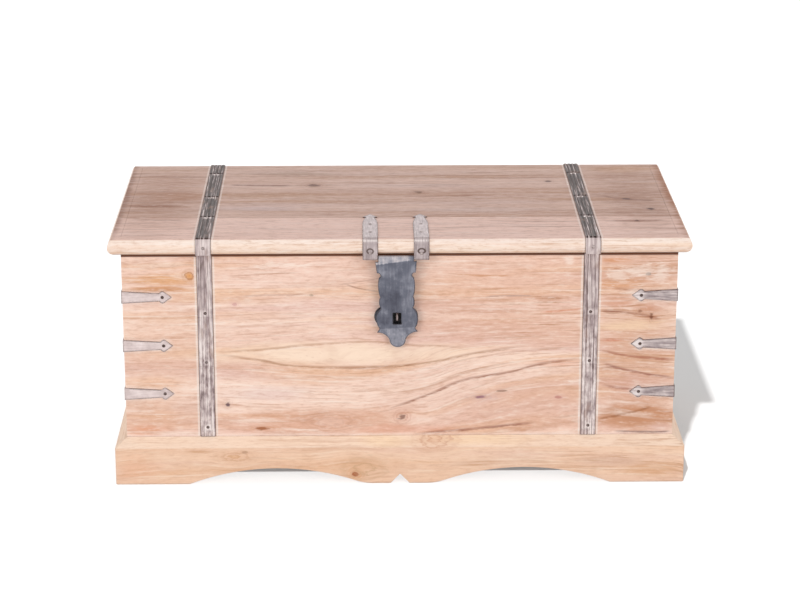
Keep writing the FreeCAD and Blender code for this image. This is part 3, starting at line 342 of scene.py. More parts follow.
frontLook = {
    "axes": "xzy", "seed": 0.0, "sway": 0.014,
    "main": tone(246, 210, 192), "pale": tone(254, 224, 207), "warm": tone(236, 188, 152),
    "rose": tone(232, 192, 180), "dark": tone(198, 146, 116), "wash": tone(255, 238, 226),
    "lime": tone(255, 247, 241), "shadeAndDirt": tone(92, 50, 28),
    "warmShare": 0.7, "roseShare": 0.65, "wideShare": 0.42, "thinShare": 0.5, "lightShare": 0.4,
    "fibreShare": 0.16, "fleckShare": 0.34, "poreShare": 0.25, "chalkFrom": 0.62, "chalkShare": 0.5,
    "mottleShare": 0.2, "creaseShade": 0.5, "limeShare": 0.8,
    "rougher": {"from": 0.0, "to": 0.36, "gain": 1.3},
    "figures": [
        {"at": (-0.075, 0.209), "length": 0.15, "half": 0.019, "fade": 0.09},
        {"at": (-0.055, 0.318), "length": 0.045, "half": 0.009, "fade": 0.03},
        {"at": (-0.11, 0.098), "length": 0.03, "half": 0.010, "fade": 0.03},
        {"at": (0.006, 0.104), "length": 0.02, "half": 0.009, "fade": 0.025},
        {"at": (-0.328, 0.341), "length": 0.016, "half": 0.008, "fade": 0.02},
        {"at": (0.392, 0.285), "length": 0.03, "half": 0.012, "fade": 0.03},
    ],
    "climb": {"at": 0.165, "fade": 0.08,
              "path": [(-0.1, 0.0), (0.0, 0.006), (0.11, 0.036), (0.2, 0.054), (0.3, 0.060), (0.37, 0.056),
                       (0.46, 0.048)]},
    "patches": [
        {"at": (-0.085, 0.2095, 0.33, 0.0265), "share": 1.0, "tone": tone(255, 228, 205), "calm": 0.9},
        {"at": (-0.15, 0.345, 0.20, 0.04), "share": 0.5, "tone": tone(252, 220, 205)},
        {"at": (-0.37, 0.20, 0.10, 0.17), "share": 0.4, "tone": tone(232, 186, 158)},
        {"at": (0.37, 0.22, 0.10, 0.22), "share": 0.7, "tone": tone(218, 168, 138)},
        {"at": (0.37, 0.345, 0.10, 0.04), "share": 0.5, "tone": tone(208, 156, 126)},
        {"at": (0.20, 0.31, 0.30, 0.10), "share": 0.5, "tone": tone(232, 184, 158)},
        {"at": (0.20, 0.255, 0.25, 0.04), "share": 0.5, "tone": tone(224, 174, 150)},
        {"at": (0.20, 0.12, 0.30, 0.085), "share": 0.6, "tone": tone(226, 180, 162)},
        {"at": (-0.14, 0.10, 0.22, 0.035), "share": 0.7, "tone": tone(224, 170, 140)},
        {"at": (-0.20, 0.145, 0.10, 0.018), "share": 0.6, "tone": tone(232, 202, 194)},
        {"at": (-0.372, 0.334, 0.08, 0.012), "share": 0.85, "tone": tone(230, 172, 122), "bent": True},
        {"at": (-0.38, 0.318, 0.06, 0.006), "share": 0.8, "tone": tone(206, 140, 88)},
        {"at": (-0.37, 0.11, 0.10, 0.035), "share": 0.5, "tone": tone(226, 176, 146)},
        {"at": (-0.40, 0.085, 0.05, 0.014), "share": 0.75, "tone": tone(230, 164, 130)},
        {"at": (-0.39, 0.165, 0.07, 0.02), "share": 0.5, "tone": tone(240, 190, 154)},
        {"at": (-0.33, 0.12, 0.05, 0.03), "share": 0.4, "tone": tone(236, 204, 192)},
        {"at": (0.335, 0.362, 0.04, 0.006), "share": 0.8, "tone": tone(222, 158, 118)},
        {"at": (0.345, 0.325, 0.06, 0.012), "share": 0.7, "tone": tone(224, 164, 122)},
        {"at": (0.34, 0.292, 0.03, 0.014), "share": 0.6, "tone": tone(218, 158, 130)},
        {"at": (0.39, 0.283, 0.035, 0.012), "share": 0.75, "tone": tone(206, 146, 116)},
        {"at": (0.36, 0.256, 0.09, 0.014), "share": 0.85, "tone": tone(250, 216, 184), "calm": 0.7},
        {"at": (0.33, 0.203, 0.025, 0.007), "share": 0.85, "tone": tone(214, 134, 104), "bent": True},
        {"at": (0.37, 0.155, 0.09, 0.03), "share": 0.6, "tone": tone(222, 174, 158)},
        {"at": (0.38, 0.105, 0.11, 0.034), "share": 0.9, "tone": tone(202, 142, 104)},
        {"at": (0.41, 0.085, 0.03, 0.012), "share": 0.6, "tone": tone(232, 196, 186)},
        {"at": (0.01, 0.085, 0.10, 0.012), "share": 0.6, "tone": tone(226, 164, 138)},
        {"at": (0.25, 0.195, 0.05, 0.010), "share": 0.6, "tone": tone(238, 178, 150)},
    ],
    "lines": [
        {"path": [(-0.300, 0.214), (-0.2, 0.220), (-0.11, 0.228), (-0.038, 0.230), (0.015, 0.2255),
                  (0.12, 0.219)],
         "width": 0.0030, "share": 0.7, "tone": tone(190, 140, 108)},
        {"path": [(-0.300, 0.213), (-0.215, 0.201), (-0.17, 0.192), (-0.11, 0.189), (-0.035, 0.189),
                  (0.046, 0.196), (0.108, 0.209), (0.215, 0.226)],
         "width": 0.0036, "share": 0.85, "tone": tone(178, 130, 100)},
        {"path": [(-0.03, 0.114), (0.046, 0.143), (0.108, 0.168), (0.171, 0.179), (0.217, 0.192),
                  (0.292, 0.202)],
         "width": 0.0034, "share": 0.9, "tone": tone(166, 116, 96)},
        {"path": [(0.05, 0.183), (0.12, 0.204), (0.2, 0.215), (0.28, 0.219)], "width": 0.0026, "share": 0.6,
         "tone": tone(196, 142, 112)},
        {"path": [(0.309, 0.217), (0.356, 0.206), (0.436, 0.198)], "width": 0.0036, "share": 0.95,
         "tone": tone(172, 106, 82)},
        {"path": [(0.315, 0.194), (0.373, 0.178), (0.436, 0.167)], "width": 0.0039, "share": 0.95,
         "tone": tone(158, 106, 92)},
        {"path": [(0.307, 0.280), (0.354, 0.277), (0.41, 0.264)], "width": 0.0044, "share": 0.95,
         "tone": tone(158, 104, 80)},
        {"path": [(0.02, 0.0765), (0.10, 0.083), (0.15, 0.089), (0.22, 0.096)],
         "width": 0.0036, "share": 0.9,
         "tone": tone(150, 92, 72)},
        {"path": [(0.335, 0.081), (0.38, 0.0785), (0.432, 0.0785)], "width": 0.0029, "share": 1.00,
         "tone": tone(126, 84, 76)},
        {"path": [(0.310, 0.236), (0.35, 0.233), (0.41, 0.227)],
         "width": 0.0029, "share": 0.67, "tone": tone(194, 132, 100)},
        {"path": [(0.315, 0.158), (0.36, 0.150), (0.43, 0.143)],
         "width": 0.0034, "share": 0.84, "tone": tone(172, 120, 104)},
        {"path": [(0.312, 0.187), (0.345, 0.184), (0.40, 0.171)],
         "width": 0.0029, "share": 0.78, "tone": tone(176, 120, 98)},
        {"path": [(0.325, 0.318), (0.37, 0.314), (0.42, 0.312)],
         "width": 0.0031, "share": 0.78, "tone": tone(184, 126, 94)},
        {"path": [(0.310, 0.352), (0.34, 0.349), (0.38, 0.352)],
         "width": 0.0029, "share": 0.67, "tone": tone(192, 132, 98)},
        {"path": [(0.31, 0.100), (0.345, 0.106), (0.40, 0.121)],
         "width": 0.0034, "share": 0.90, "tone": tone(164, 108, 72)},
        {"path": [(-0.275, 0.339), (-0.22, 0.341), (-0.15, 0.345)], "width": 0.0022, "share": 0.65,
         "tone": tone(200, 150, 124)},
        {"path": [(-0.09, 0.326), (-0.06, 0.317), (-0.022, 0.310)], "width": 0.0022, "share": 0.8,
         "tone": tone(176, 128, 106)},
        {"path": [(-0.10, 0.323), (-0.06, 0.329), (-0.02, 0.337)], "width": 0.0020, "share": 0.6,
         "tone": tone(192, 144, 120)},
        {"path": [(-0.25, 0.306), (-0.2, 0.308), (-0.14, 0.310)],
         "width": 0.0026, "share": 0.6, "tone": tone(190, 148, 132)},
        {"path": [(0.07, 0.343), (0.12, 0.338), (0.18, 0.338)],
         "width": 0.0022, "share": 0.75, "tone": tone(206, 142, 100)},
        {"path": [(0.13, 0.302), (0.165, 0.305), (0.21, 0.306)],
         "width": 0.0024, "share": 0.7, "tone": tone(176, 146, 140)},
        {"path": [(0.22, 0.279), (0.26, 0.281), (0.292, 0.285)],
         "width": 0.0026, "share": 0.8, "tone": tone(214, 132, 98)},
    ],
    "knots": [
        {"at": (-0.271, 0.128, 0.0040, 0.0042), "share": 0.95, "halo": 0.35, "tone": tone(112, 88, 92),
         "ring": tone(206, 172, 160)},
        {"at": (-0.110, 0.098, 0.022, 0.008), "share": 0.3, "halo": 0.65, "tone": tone(246, 214, 198),
         "ring": tone(206, 156, 132)},
        {"at": (-0.217, 0.087, 0.013, 0.0034), "share": 0.9, "halo": 0.5, "tone": tone(164, 100, 62),
         "ring": tone(212, 154, 116)},
        {"at": (0.004, 0.105, 0.007, 0.006), "share": 0.8, "halo": 0.8, "tone": tone(138, 104, 92),
         "ring": tone(206, 150, 128)},
        {"at": (0.126, 0.138, 0.012, 0.0032), "share": 0.85, "halo": 0.5, "tone": tone(150, 104, 116),
         "ring": tone(206, 172, 168)},
        {"at": (0.160, 0.148, 0.008, 0.0018), "share": 0.8, "halo": 0.3, "tone": tone(164, 124, 104),
         "ring": tone(214, 170, 150)},
        {"at": (0.249, 0.137, 0.006, 0.0028), "share": 0.7, "halo": 0.4, "tone": tone(190, 124, 116),
         "ring": tone(222, 172, 160)},
        {"at": (-0.257, 0.294, 0.004, 0.003), "share": 0.6, "halo": 0.5, "tone": tone(208, 150, 146),
         "ring": tone(220, 170, 162)},
        {"at": (-0.137, 0.308, 0.005, 0.003), "share": 0.65, "halo": 0.4, "tone": tone(176, 146, 124),
         "ring": tone(216, 182, 164)},
        {"at": (-0.326, 0.340, 0.0045, 0.0045), "share": 0.75, "halo": 0.85, "tone": tone(226, 160, 92),
         "ring": tone(188, 122, 66), "turns": 0.75},
        {"at": (0.392, 0.270, 0.0035, 0.006), "share": 0.9, "halo": 0.55, "tone": tone(126, 78, 58),
         "ring": tone(196, 136, 106)},
        {"at": (0.374, 0.279, 0.006, 0.004), "share": 0.7, "halo": 0.5, "tone": tone(150, 96, 70),
         "ring": tone(200, 142, 110)},
        {"at": (0.386, 0.340, 0.005, 0.003), "share": 0.85, "halo": 0.3, "tone": tone(112, 78, 66),
         "ring": tone(196, 146, 118)},
    ],
    "limed": [(0.372, 0.346, 0.05, 0.014), (0.405, 0.340, 0.016, 0.026), (0.34, 0.338, 0.02, 0.016),
              (0.36, 0.312, 0.03, 0.006), (0.262, 0.362, 0.012, 0.018), (-0.145, 0.0845, 0.03, 0.002),
              (0.29, 0.165, 0.035, 0.004), (0.40, 0.218, 0.035, 0.006), (-0.19, 0.357, 0.06, 0.006)],
    # painted shadow: a dark line on the wall just under the lid's edge
    "paintedShadows": [{"from": 0.3698, "to": 0.3718, "full": 0.3748, "gone": 0.3762, "share": 0.95}],
}

lidLook = {
    "axes": "xyz", "seed": 5.0, "sway": 0.02,
    "main": tone(200, 163, 147), "pale": tone(213, 178, 163), "warm": tone(181, 137, 109),
    "rose": tone(205, 176, 169), "dark": tone(139, 96, 77), "wash": tone(229, 206, 199),
    "lime": tone(251, 236, 229), "shadeAndDirt": tone(93, 56, 39),
    "warmShare": 0.75, "roseShare": 0.5, "wideShare": 0.5, "thinShare": 0.4, "lightShare": 0.35,
    "fibreShare": 0.18, "fleckShare": 0.32, "poreShare": 0.2, "chalkFrom": 0.62, "chalkShare": 0.4,
    "mottleShare": 0.18, "creaseShade": 0.6, "limeShare": 0.85,
    "strips": [{"from": -0.3, "to": -0.1, "share": 0.85, "tone": tone(239, 203, 190)},
               {"from": 0.15, "to": 0.3, "share": 0.5, "tone": tone(215, 182, 167)},
               {"from": -0.1018, "to": -0.0985, "share": 0.5, "tone": tone(159, 122, 105)},
               {"from": 0.1485, "to": 0.1515, "share": 0.45, "tone": tone(161, 126, 107)}],
    "patches": [
        {"at": (-0.385, 0.0, 0.09, 0.24), "share": 0.55, "tone": tone(171, 128, 107)},
        {"at": (0.385, 0.0, 0.09, 0.26), "share": 0.65, "tone": tone(169, 128, 109)},
        {"at": (-0.39, -0.03, 0.07, 0.016), "share": 0.85, "tone": tone(143, 92, 65)},
        {"at": (-0.36, 0.02, 0.06, 0.03), "share": 0.6, "tone": tone(167, 116, 85)},
        {"at": (-0.2, 0.03, 0.13, 0.022), "share": 0.55, "tone": tone(177, 132, 101)},
        {"at": (-0.22, -0.05, 0.09, 0.02), "share": 0.5, "tone": tone(207, 184, 183)},
        {"at": (0.1, 0.035, 0.2, 0.02), "share": 0.5, "tone": tone(173, 124, 95)},
        {"at": (0.12, -0.06, 0.2, 0.02), "share": 0.5, "tone": tone(209, 184, 177)},
        {"at": (-0.17, 0.165, 0.1, 0.02), "share": 0.5, "tone": tone(161, 130, 109)},
        {"at": (0.37, -0.13, 0.06, 0.012), "share": 0.6, "tone": tone(151, 102, 79)},
        {"at": (0.39, 0.19, 0.08, 0.03), "share": 0.55, "tone": tone(197, 152, 119)},
        {"at": (0.445, 0.03, 0.016, 0.36), "share": 0.9, "tone": tone(159, 102, 69)},
        {"at": (-0.445, 0.02, 0.013, 0.34), "share": 0.8, "tone": tone(137, 94, 77)},
    ],
    "lines": [
        {"path": [(-0.28, 0.099), (-0.242, 0.093), (-0.17, 0.090)],
         "width": 0.007, "share": 0.8, "tone": tone(119, 74, 59)},
        {"path": [(0.0, 0.03), (0.06, 0.022), (0.13, 0.03)],
         "width": 0.007, "share": 0.6, "tone": tone(141, 92, 69)},
        {"path": [(0.33, 0.02), (0.371, 0.0), (0.42, -0.01)],
         "width": 0.007, "share": 0.7, "tone": tone(125, 82, 67)},
        {"path": [(0.33, -0.125), (0.374, -0.127), (0.42, -0.12)],
         "width": 0.007, "share": 0.6, "tone": tone(129, 80, 61)},
        {"path": [(-0.43, -0.1), (-0.38, -0.112), (-0.32, -0.118)],
         "width": 0.007, "share": 0.5, "tone": tone(147, 110, 95)},
    ],
    "knots": [
        {"at": (-0.138, 0.092, 0.010, 0.010), "share": 0.8, "halo": 0.5,
         "tone": tone(105, 72, 59), "ring": tone(161, 116, 93)},
        {"at": (0.035, 0.045, 0.008, 0.008), "share": 0.8, "halo": 0.6,
         "tone": tone(113, 76, 51), "ring": tone(161, 116, 91)},
        {"at": (0.251, 0.112, 0.006, 0.007), "share": 0.75, "halo": 0.3,
         "tone": tone(93, 68, 63), "ring": tone(169, 132, 115)},
        {"at": (0.371, 0.002, 0.012, 0.008), "share": 0.85, "halo": 0.4,
         "tone": tone(85, 60, 55), "ring": tone(151, 110, 95)},
        {"at": (0.404, -0.061, 0.009, 0.010), "share": 0.9, "halo": 0.4,
         "tone": tone(67, 44, 41), "ring": tone(151, 110, 95)},
        {"at": (0.374, -0.126, 0.006, 0.007), "share": 0.8, "halo": 0.3,
         "tone": tone(83, 50, 39), "ring": tone(151, 106, 85)},
    ],
}

# the lid's edge is pale below its arris; above it the lid's own greyed paint goes on
noseTones = {
    "main": tone(247, 218, 200), "pale": tone(253, 230, 213), "warm": tone(242, 206, 174),
    "rose": tone(244, 212, 198), "dark": tone(206, 160, 128), "wash": tone(255, 243, 234),
    "shadeAndDirt": tone(92, 50, 28),
}
lidEdgeLook = dict(
    lidLook, **noseTones, axes="xzy", seed=8.0, sway=0.006, patches=[], lines=[], knots=[],
    # on the rounded nose: low down a darker, oranger band, painted shade where it turns under; high up a
    # near-white band, a painted highlight where it turns up
    strips=[{"from": 0.376, "to": 0.3838, "share": 0.4, "tone": tone(234, 192, 158)},
            {"from": 0.3955, "to": 0.4022, "share": 0.45, "tone": tone(255, 240, 230)}],
    wideShare=0.5, thinShare=0.6, fleckShare=0.4, limeShare=0.6,
    # painted shade on the underside of the lid's nose
    paintedShadows=[{"from": 0.3798, "to": 0.3784, "full": 0.3778, "gone": 0.3773, "share": 0.75}],
)
lidEndLook = dict(lidEdgeLook, axes="yzx", seed=11.0)
lidEndLook.pop("limeShare")

sideLook = dict(
    frontLook, axes="yzx", seed=21.0, patches=[], lines=[], limed=[],
    # a fainter painted shadow under the lid's edge
    paintedShadows=[{"from": 0.3690, "to": 0.3718, "full": 0.3748, "gone": 0.3762, "share": 0.45}],
    figures=[{"at": (0.04, 0.25), "length": 0.09, "half": 0.022, "fade": 0.08},
             {"at": (-0.09, 0.13), "length": 0.05, "half": 0.012, "fade": 0.05}],
    climb={"at": 0.2, "fade": 0.07, "path": [(-0.25, 0.0), (-0.1, 0.01), (0.1, 0.03), (0.25, 0.02)]},
    knots=[{"at": (-0.09, 0.13, 0.008, 0.006), "share": 0.8, "halo": 0.5, "tone": tone(150, 102, 78),
            "ring": tone(204, 152, 122)}],
)
sideLook.pop("limeShare")
backLook = dict(
    sideLook, axes="xzy", seed=31.0,
    figures=[{"at": (0.12, 0.16), "length": 0.16, "half": 0.026, "fade": 0.09},
             {"at": (-0.22, 0.27), "length": 0.1, "half": 0.015, "fade": 0.06}],
    climb={"at": 0.22, "fade": 0.07, "path": [(-0.45, 0.02), (-0.2, 0.0), (0.1, 0.03), (0.45, 0.05)]},
    knots=[{"at": (0.2, 0.29, 0.009, 0.006), "share": 0.85, "halo": 0.5, "tone": tone(146, 96, 72),
            "ring": tone(204, 152, 122)},
           {"at": (-0.3, 0.12, 0.006, 0.005), "share": 0.8, "halo": 0.5, "tone": tone(150, 110, 96),
            "ring": tone(206, 160, 136)}],
)
insideLook = dict(backLook, seed=35.0, knots=[], paintedShadows=[], chalkShare=0.15)
floorLook = dict(
    insideLook, axes="xyz", seed=41.0,
    climb={"at": 0.0, "fade": 0.1, "path": [(-0.45, 0.0), (0.0, 0.03), (0.45, 0.01)]},
    figures=[{"at": (-0.1, -0.1), "length": 0.15, "half": 0.03, "fade": 0.1}],
)
lidUnderLook = dict(floorLook, seed=43.0)
battenLook = dict(floorLook, axes="yxz", seed=47.0)

plinthLook = dict(
    frontLook, seed=51.0, patches=[
        {"at": (-0.42, 0.03, 0.05, 0.03), "share": 0.5, "tone": tone(240, 184, 148)},
        {"at": (0.40, 0.02, 0.07, 0.016), "share": 0.75, "tone": tone(222, 170, 130)},
        {"at": (0.33, 0.035, 0.08, 0.014), "share": 0.6, "tone": tone(218, 180, 160)},
        {"at": (0.12, 0.07, 0.13, 0.012), "share": 0.7, "tone": tone(255, 224, 188)},
        {"at": (0.15, 0.035, 0.12, 0.016), "share": 0.4, "tone": tone(232, 200, 180)},
        {"at": (-0.32, 0.055, 0.03, 0.004), "share": 0.7, "tone": tone(206, 156, 118)},
        {"at": (-0.02, 0.068, 0.06, 0.012), "share": 0.6, "tone": tone(255, 226, 188)},
    ],
    lines=[], limed=[], paintedShadows=[],
    main=tone(240, 199, 170), pale=tone(249, 213, 186), warm=tone(234, 186, 148), rose=tone(236, 196, 176),
    dark=tone(200, 148, 110), wash=tone(253, 230, 210), sway=0.012,
    figures=[{"at": (-0.264, 0.045), "length": 0.03, "half": 0.010, "fade": 0.025},
             {"at": (-0.075, 0.026), "length": 0.035, "half": 0.014, "fade": 0.03},
             {"at": (0.055, 0.070), "length": 0.035, "half": 0.016, "fade": 0.03}],
    climb={"at": 0.03, "fade": 0.05, "path": [(-0.45, -0.008), (-0.2, 0.0), (0.2, 0.0), (0.45, -0.012)]},
    wideShare=0.42, thinShare=0.4, chalkShare=0.3, fleckShare=0.24,
    # painted highlight: the bevel along the plinth's top is paler; the thin pale line along its arris is
    # painted highlight and wear
    strips=[{"from": 0.0622, "to": 0.2, "share": 0.9, "tone": tone(255, 230, 208)},
            {"from": 0.0606, "to": 0.0626, "share": 0.5, "tone": tone(255, 232, 212)}],
    knots=[
        {"at": (-0.071, 0.0165, 0.0065, 0.0052), "share": 0.95, "halo": 0.8, "tone": tone(164, 82, 40),
         "ring": tone(220, 160, 112)},
        {"at": (-0.262, 0.046, 0.013, 0.0045), "share": 0.35, "halo": 0.7, "tone": tone(222, 168, 116),
         "ring": tone(210, 158, 122), "turns": 1.2},
        {"at": (-0.245, 0.054, 0.006, 0.002), "share": 0.6, "halo": 0.3, "tone": tone(178, 134, 108),
         "ring": tone(214, 164, 130)},
        {"at": (-0.058, 0.026, 0.018, 0.009), "share": 0.2, "halo": 0.7, "tone": tone(236, 190, 156),
         "ring": tone(206, 164, 128), "turns": 0.9},
        {"at": (0.055, 0.070, 0.016, 0.007), "share": 0.25, "halo": 0.75, "tone": tone(240, 196, 164),
         "ring": tone(210, 156, 122), "turns": 1.2},
    ],
)
plinthLook.pop("limeShare")
plinthSideLook = dict(plinthLook, axes="yzx", seed=57.0, knots=[], patches=[])
plinthBackLook = dict(plinthLook, seed=63.0, knots=[], patches=[])


# reeded bands: worn dark iron with lime left in it; the run goes over the lid and down the front
def bandPaint(name, look):
    paint = Finish(name, {"Metallic": look["metal"], "Specular IOR Level": look["gloss"]})
    across = abs(paint.x + look["shift"]) - look["middle"]
    run = paint.z - paint.y
    half = look["half"]

    def worn(scale, shift, detail, rough=0.5):
        return paint.noise(paint.spot(paint.x * scale[0], run * scale[1] + shift, paint.y * 3), detail, rough)

    reed = paint.part((across + half) / look["reed"])
    groove = paint.step(abs(reed - 0.5), look["grooveFrom"], look["grooveTo"])
    rim = paint.step(abs(across), half - look["rimFrom"], half - look["rimTo"])
    streaks = worn(look["streaks"], 0, 3.0, 0.6)
    fine = worn(look["fine"], 0, 2.0, 0.6)
    blobs = worn(look["blobs"], 5, 4.0, 0.65)
    rust = paint.step(worn(look["rustSpots"], 40, 3.0), *look["rustEdge"])

    top = paint.step(paint.z, look["topFrom"], look["topFrom"] + 0.001)
    leg = paint.step(paint.z, look["legFrom"], look["legFrom"] + 0.001) * (1 - top)
    low = paint.step(paint.z, *look["low"])
    end = top * paint.step(paint.y, *look["end"])
    lift = look["frontLift"] + top * (look["topLift"] - look["frontLift"])
    lift = lift + leg * look["legLift"] + low * look["lowLift"] + end * look["endLift"]
    wear = (streaks - 0.5) * (look["streakShare"] - leg * look["legStreaks"] + top * look["topStreaks"])
    wear = wear + (blobs - 0.5) * (low * look["lowBlobs"] + look["blobShare"])
    wear = wear + (fine - 0.5) * look["fineShare"] + 0.5 + lift
    upright, lying = paint.spot(across, paint.z, 0.0), paint.spot(across, paint.y, 0.0)
    for level in look["frontNails"]:
        rubbed = paint.blot(upright, (0.0, level, *look["frontNailMark"])) * (1 - top)
        wear = wear + rubbed * look["frontNailLift"]
    for level in look["lidNails"]:
        wear = wear + paint.blot(lying, (0.0, level, *look["lidNailMark"])) * top * look["lidNailLift"]

    colour = paint.node("ShaderNodeValToRGB", {"stops": look["stops"]}, {0: wear})
    colour = paint.mix(groove * look["grooveShare"] * (1 - leg), colour, look["groove"])
    colour = paint.mix(rim * (look["rimShare"] + top * look["topRimShare"]), colour, look["rim"])
    colour = paint.mix(rust * look["rustShare"], colour, look["rust"])
    # painted shade in the creases, less of it on the lid's top
    crease = paint.step(paint.nearby(look["creaseReach"]), *look["crease"])
    colour = paint.mix(crease * look["creaseShade"] * (1 - top * look["topCreaseShadeCut"]), colour, look["shadeAndDirt"])
    normal = paint.bump(streaks * 0.6 + blobs * 0.8, look["relief"], look["reliefDepth"])
    return paint.done(colour, look["rough"] + (blobs - 0.5) * 0.3, normal)


# thin cut sheet: corner straps, hasp and its straps, hinges, nails
def strapPaint(name, look):
    paint = Finish(name, {"Metallic": look["metal"], "Specular IOR Level": look["gloss"]})

    def spread(scale, detail, rough=0.5):
        place = paint.spot(paint.x * scale[0], paint.y * scale[1], paint.z * scale[2])
        return paint.noise(place, detail, rough)

    brushed = spread(look["brush"], 3.0, 0.6)
    clouds = spread(look["clouds"], 4.0, 0.6)
    stain = paint.step(spread(look["stains"], 3.0), *look["stainEdge"])
    shade = (brushed - 0.5) * look["brushShare"] + (clouds - 0.5) * look["cloudShare"] + 0.5
    upright = paint.spot(paint.x, paint.z, 0.0)
    for glint in look.get("litAndShadedSpots", ()):
        # painted highlights and painted shade: spots lit brighter or shaded darker, in the piece's own upright
        # face
        shade = shade + paint.blot(upright, glint["at"], (clouds - 0.5) * 1.2) * glint["lift"]
    for bright in look.get("bright", ()):
        # painted highlight along the lit side of a slanting line; on the hasp's rolled top it runs on as worn
        # bright steel
        edge = paint.z - (paint.x - bright["at"][0]) * bright["slant"] - bright["at"][1]
        edge = edge + (brushed - 0.5) * 0.003
        span = paint.step(paint.x, bright["from"] - 0.002, bright["from"])
        span = span * paint.step(paint.x, bright["to"], bright["to"] - 0.012)
        shade = shade + paint.step(edge * bright["way"], -0.0012, 0.0012) * span * bright["lift"]

    colour = paint.node("ShaderNodeValToRGB", {"stops": look["stops"]}, {0: shade})
    colour = paint.mix(stain * look["stainShare"], colour, look["stain"])
    # dark rings round nails, painted shade of a punched dimple round each
    for ring in look.get("rings", ()):
        span = paint.oval(upright, ring["at"]) + (clouds - 0.5) * 0.7
        shown = paint.step(span, 0.5, 0.8) * paint.step(span, 1.3, 1.0)
        shown = shown * paint.step(paint.y, *look["ringFace"])
        colour = paint.mix(shown * ring["share"], colour, look["shadeAndDirt"])
    for bend in look.get("bends", ()):
        rubbed = paint.bell((paint.z - bend["height"]) / bend["width"]) * paint.step(brushed, 0.3, 0.55)
        colour = paint.mix(rubbed * bend["share"], colour, bend["tone"])
    drawn = paint.border(look["outline"]["reach"]) * paint.step(clouds, 0.3, 0.55)
    colour = paint.mix(drawn * look["outline"]["share"], colour, look["shadeAndDirt"])
    # painted shade in the creases
    crease = paint.step(paint.nearby(look["creaseReach"]), *look["crease"])
    colour = paint.mix(crease * look["creaseShade"], colour, look["shadeAndDirt"])
    normal = paint.bump(brushed * 0.5 + clouds, look["relief"], look["reliefDepth"])
    return paint.done(colour, look["rough"] + (clouds - 0.5) * 0.25, normal)


strapLook = {
    "metal": 0.2, "gloss": 0.4, "rough": 0.5, "relief": 0.3, "reliefDepth": 0.0006,
    "brush": (40, 40, 420), "clouds": (70, 70, 70), "stains": (120, 120, 120),
    "brushShare": 0.4, "cloudShare": 0.55, "outline": {"reach": 0.003, "share": 1.0},
    "creaseReach": 0.0035, "crease": (0.9, 0.45),
    "stops": [(0.2, tone(167, 148, 145)), (0.78, tone(248, 236, 233)), (0.4, tone(204, 186, 183)),
              (0.56, tone(225, 208, 205))],
    "stain": tone(176, 156, 148), "stainShare": 0.3, "stainEdge": (0.58, 0.74),
    "shadeAndDirt": tone(70, 48, 40), "creaseShade": 0.9,
}
strapRightLook = dict(
    strapLook, brushShare=0.9,
    # painted highlights on the straps' heads
    litAndShadedSpots=[{"at": (0.3715, level, 0.015, 0.012), "lift": 0.26} for level in (0.3055, 0.226, 0.1465)],
    stops=[(0.2, tone(112, 98, 98)), (0.78, tone(232, 220, 217)),
           (0.4, tone(164, 149, 149)), (0.56, tone(196, 181, 179))],
)
haspStrapLook = dict(
    strapLook, brush=(420, 50, 50), brushShare=0.8, ringFace=(-0.220, -0.222),
    stops=[(0.2, tone(122, 108, 108)), (0.8, tone(218, 207, 206)),
           (0.42, tone(166, 151, 151)), (0.58, tone(186, 171, 171))],
    rings=[{"at": (-0.046, 0.3845, 0.0052, 0.0042), "share": 0.85},
           {"at": (0.033, 0.3845, 0.0056, 0.0042), "share": 0.9}],
    bends=[{"height": 0.4005, "width": 0.0016, "share": 0.7, "tone": tone(244, 234, 230)},
           {"height": 0.395, "width": 0.0022, "share": 0.35, "tone": tone(150, 136, 136)}],
)
hingeLook = dict(
    strapLook, brush=(60, 300, 300), metal=0.5,
    stops=[(0.3, tone(92, 88, 90)), (0.74, tone(178, 172, 172)),
           (0.46, tone(126, 121, 122)), (0.58, tone(150, 145, 145))],
)
nailLook = dict(
    strapLook, brush=(160, 160, 160), metal=0.5,
    stops=[(0.3, tone(92, 80, 78)), (0.74, tone(214, 202, 198)),
           (0.46, tone(142, 128, 126)), (0.58, tone(180, 166, 163))],
    creaseShade=0.6,
)
lidNailLook = dict(
    nailLook,
    stops=[(0.3, tone(116, 102, 99)), (0.74, tone(228, 216, 212)),
           (0.46, tone(164, 150, 147)), (0.58, tone(198, 184, 181))],
    creaseShade=0.4, outline={"reach": 0.0012, "share": 0.5},
)
strapNailLook = dict(
    nailLook,
    stops=[(0.3, tone(66, 54, 52)), (0.74, tone(172, 158, 154)),
           (0.46, tone(98, 83, 80)), (0.58, tone(128, 113, 109))],
)
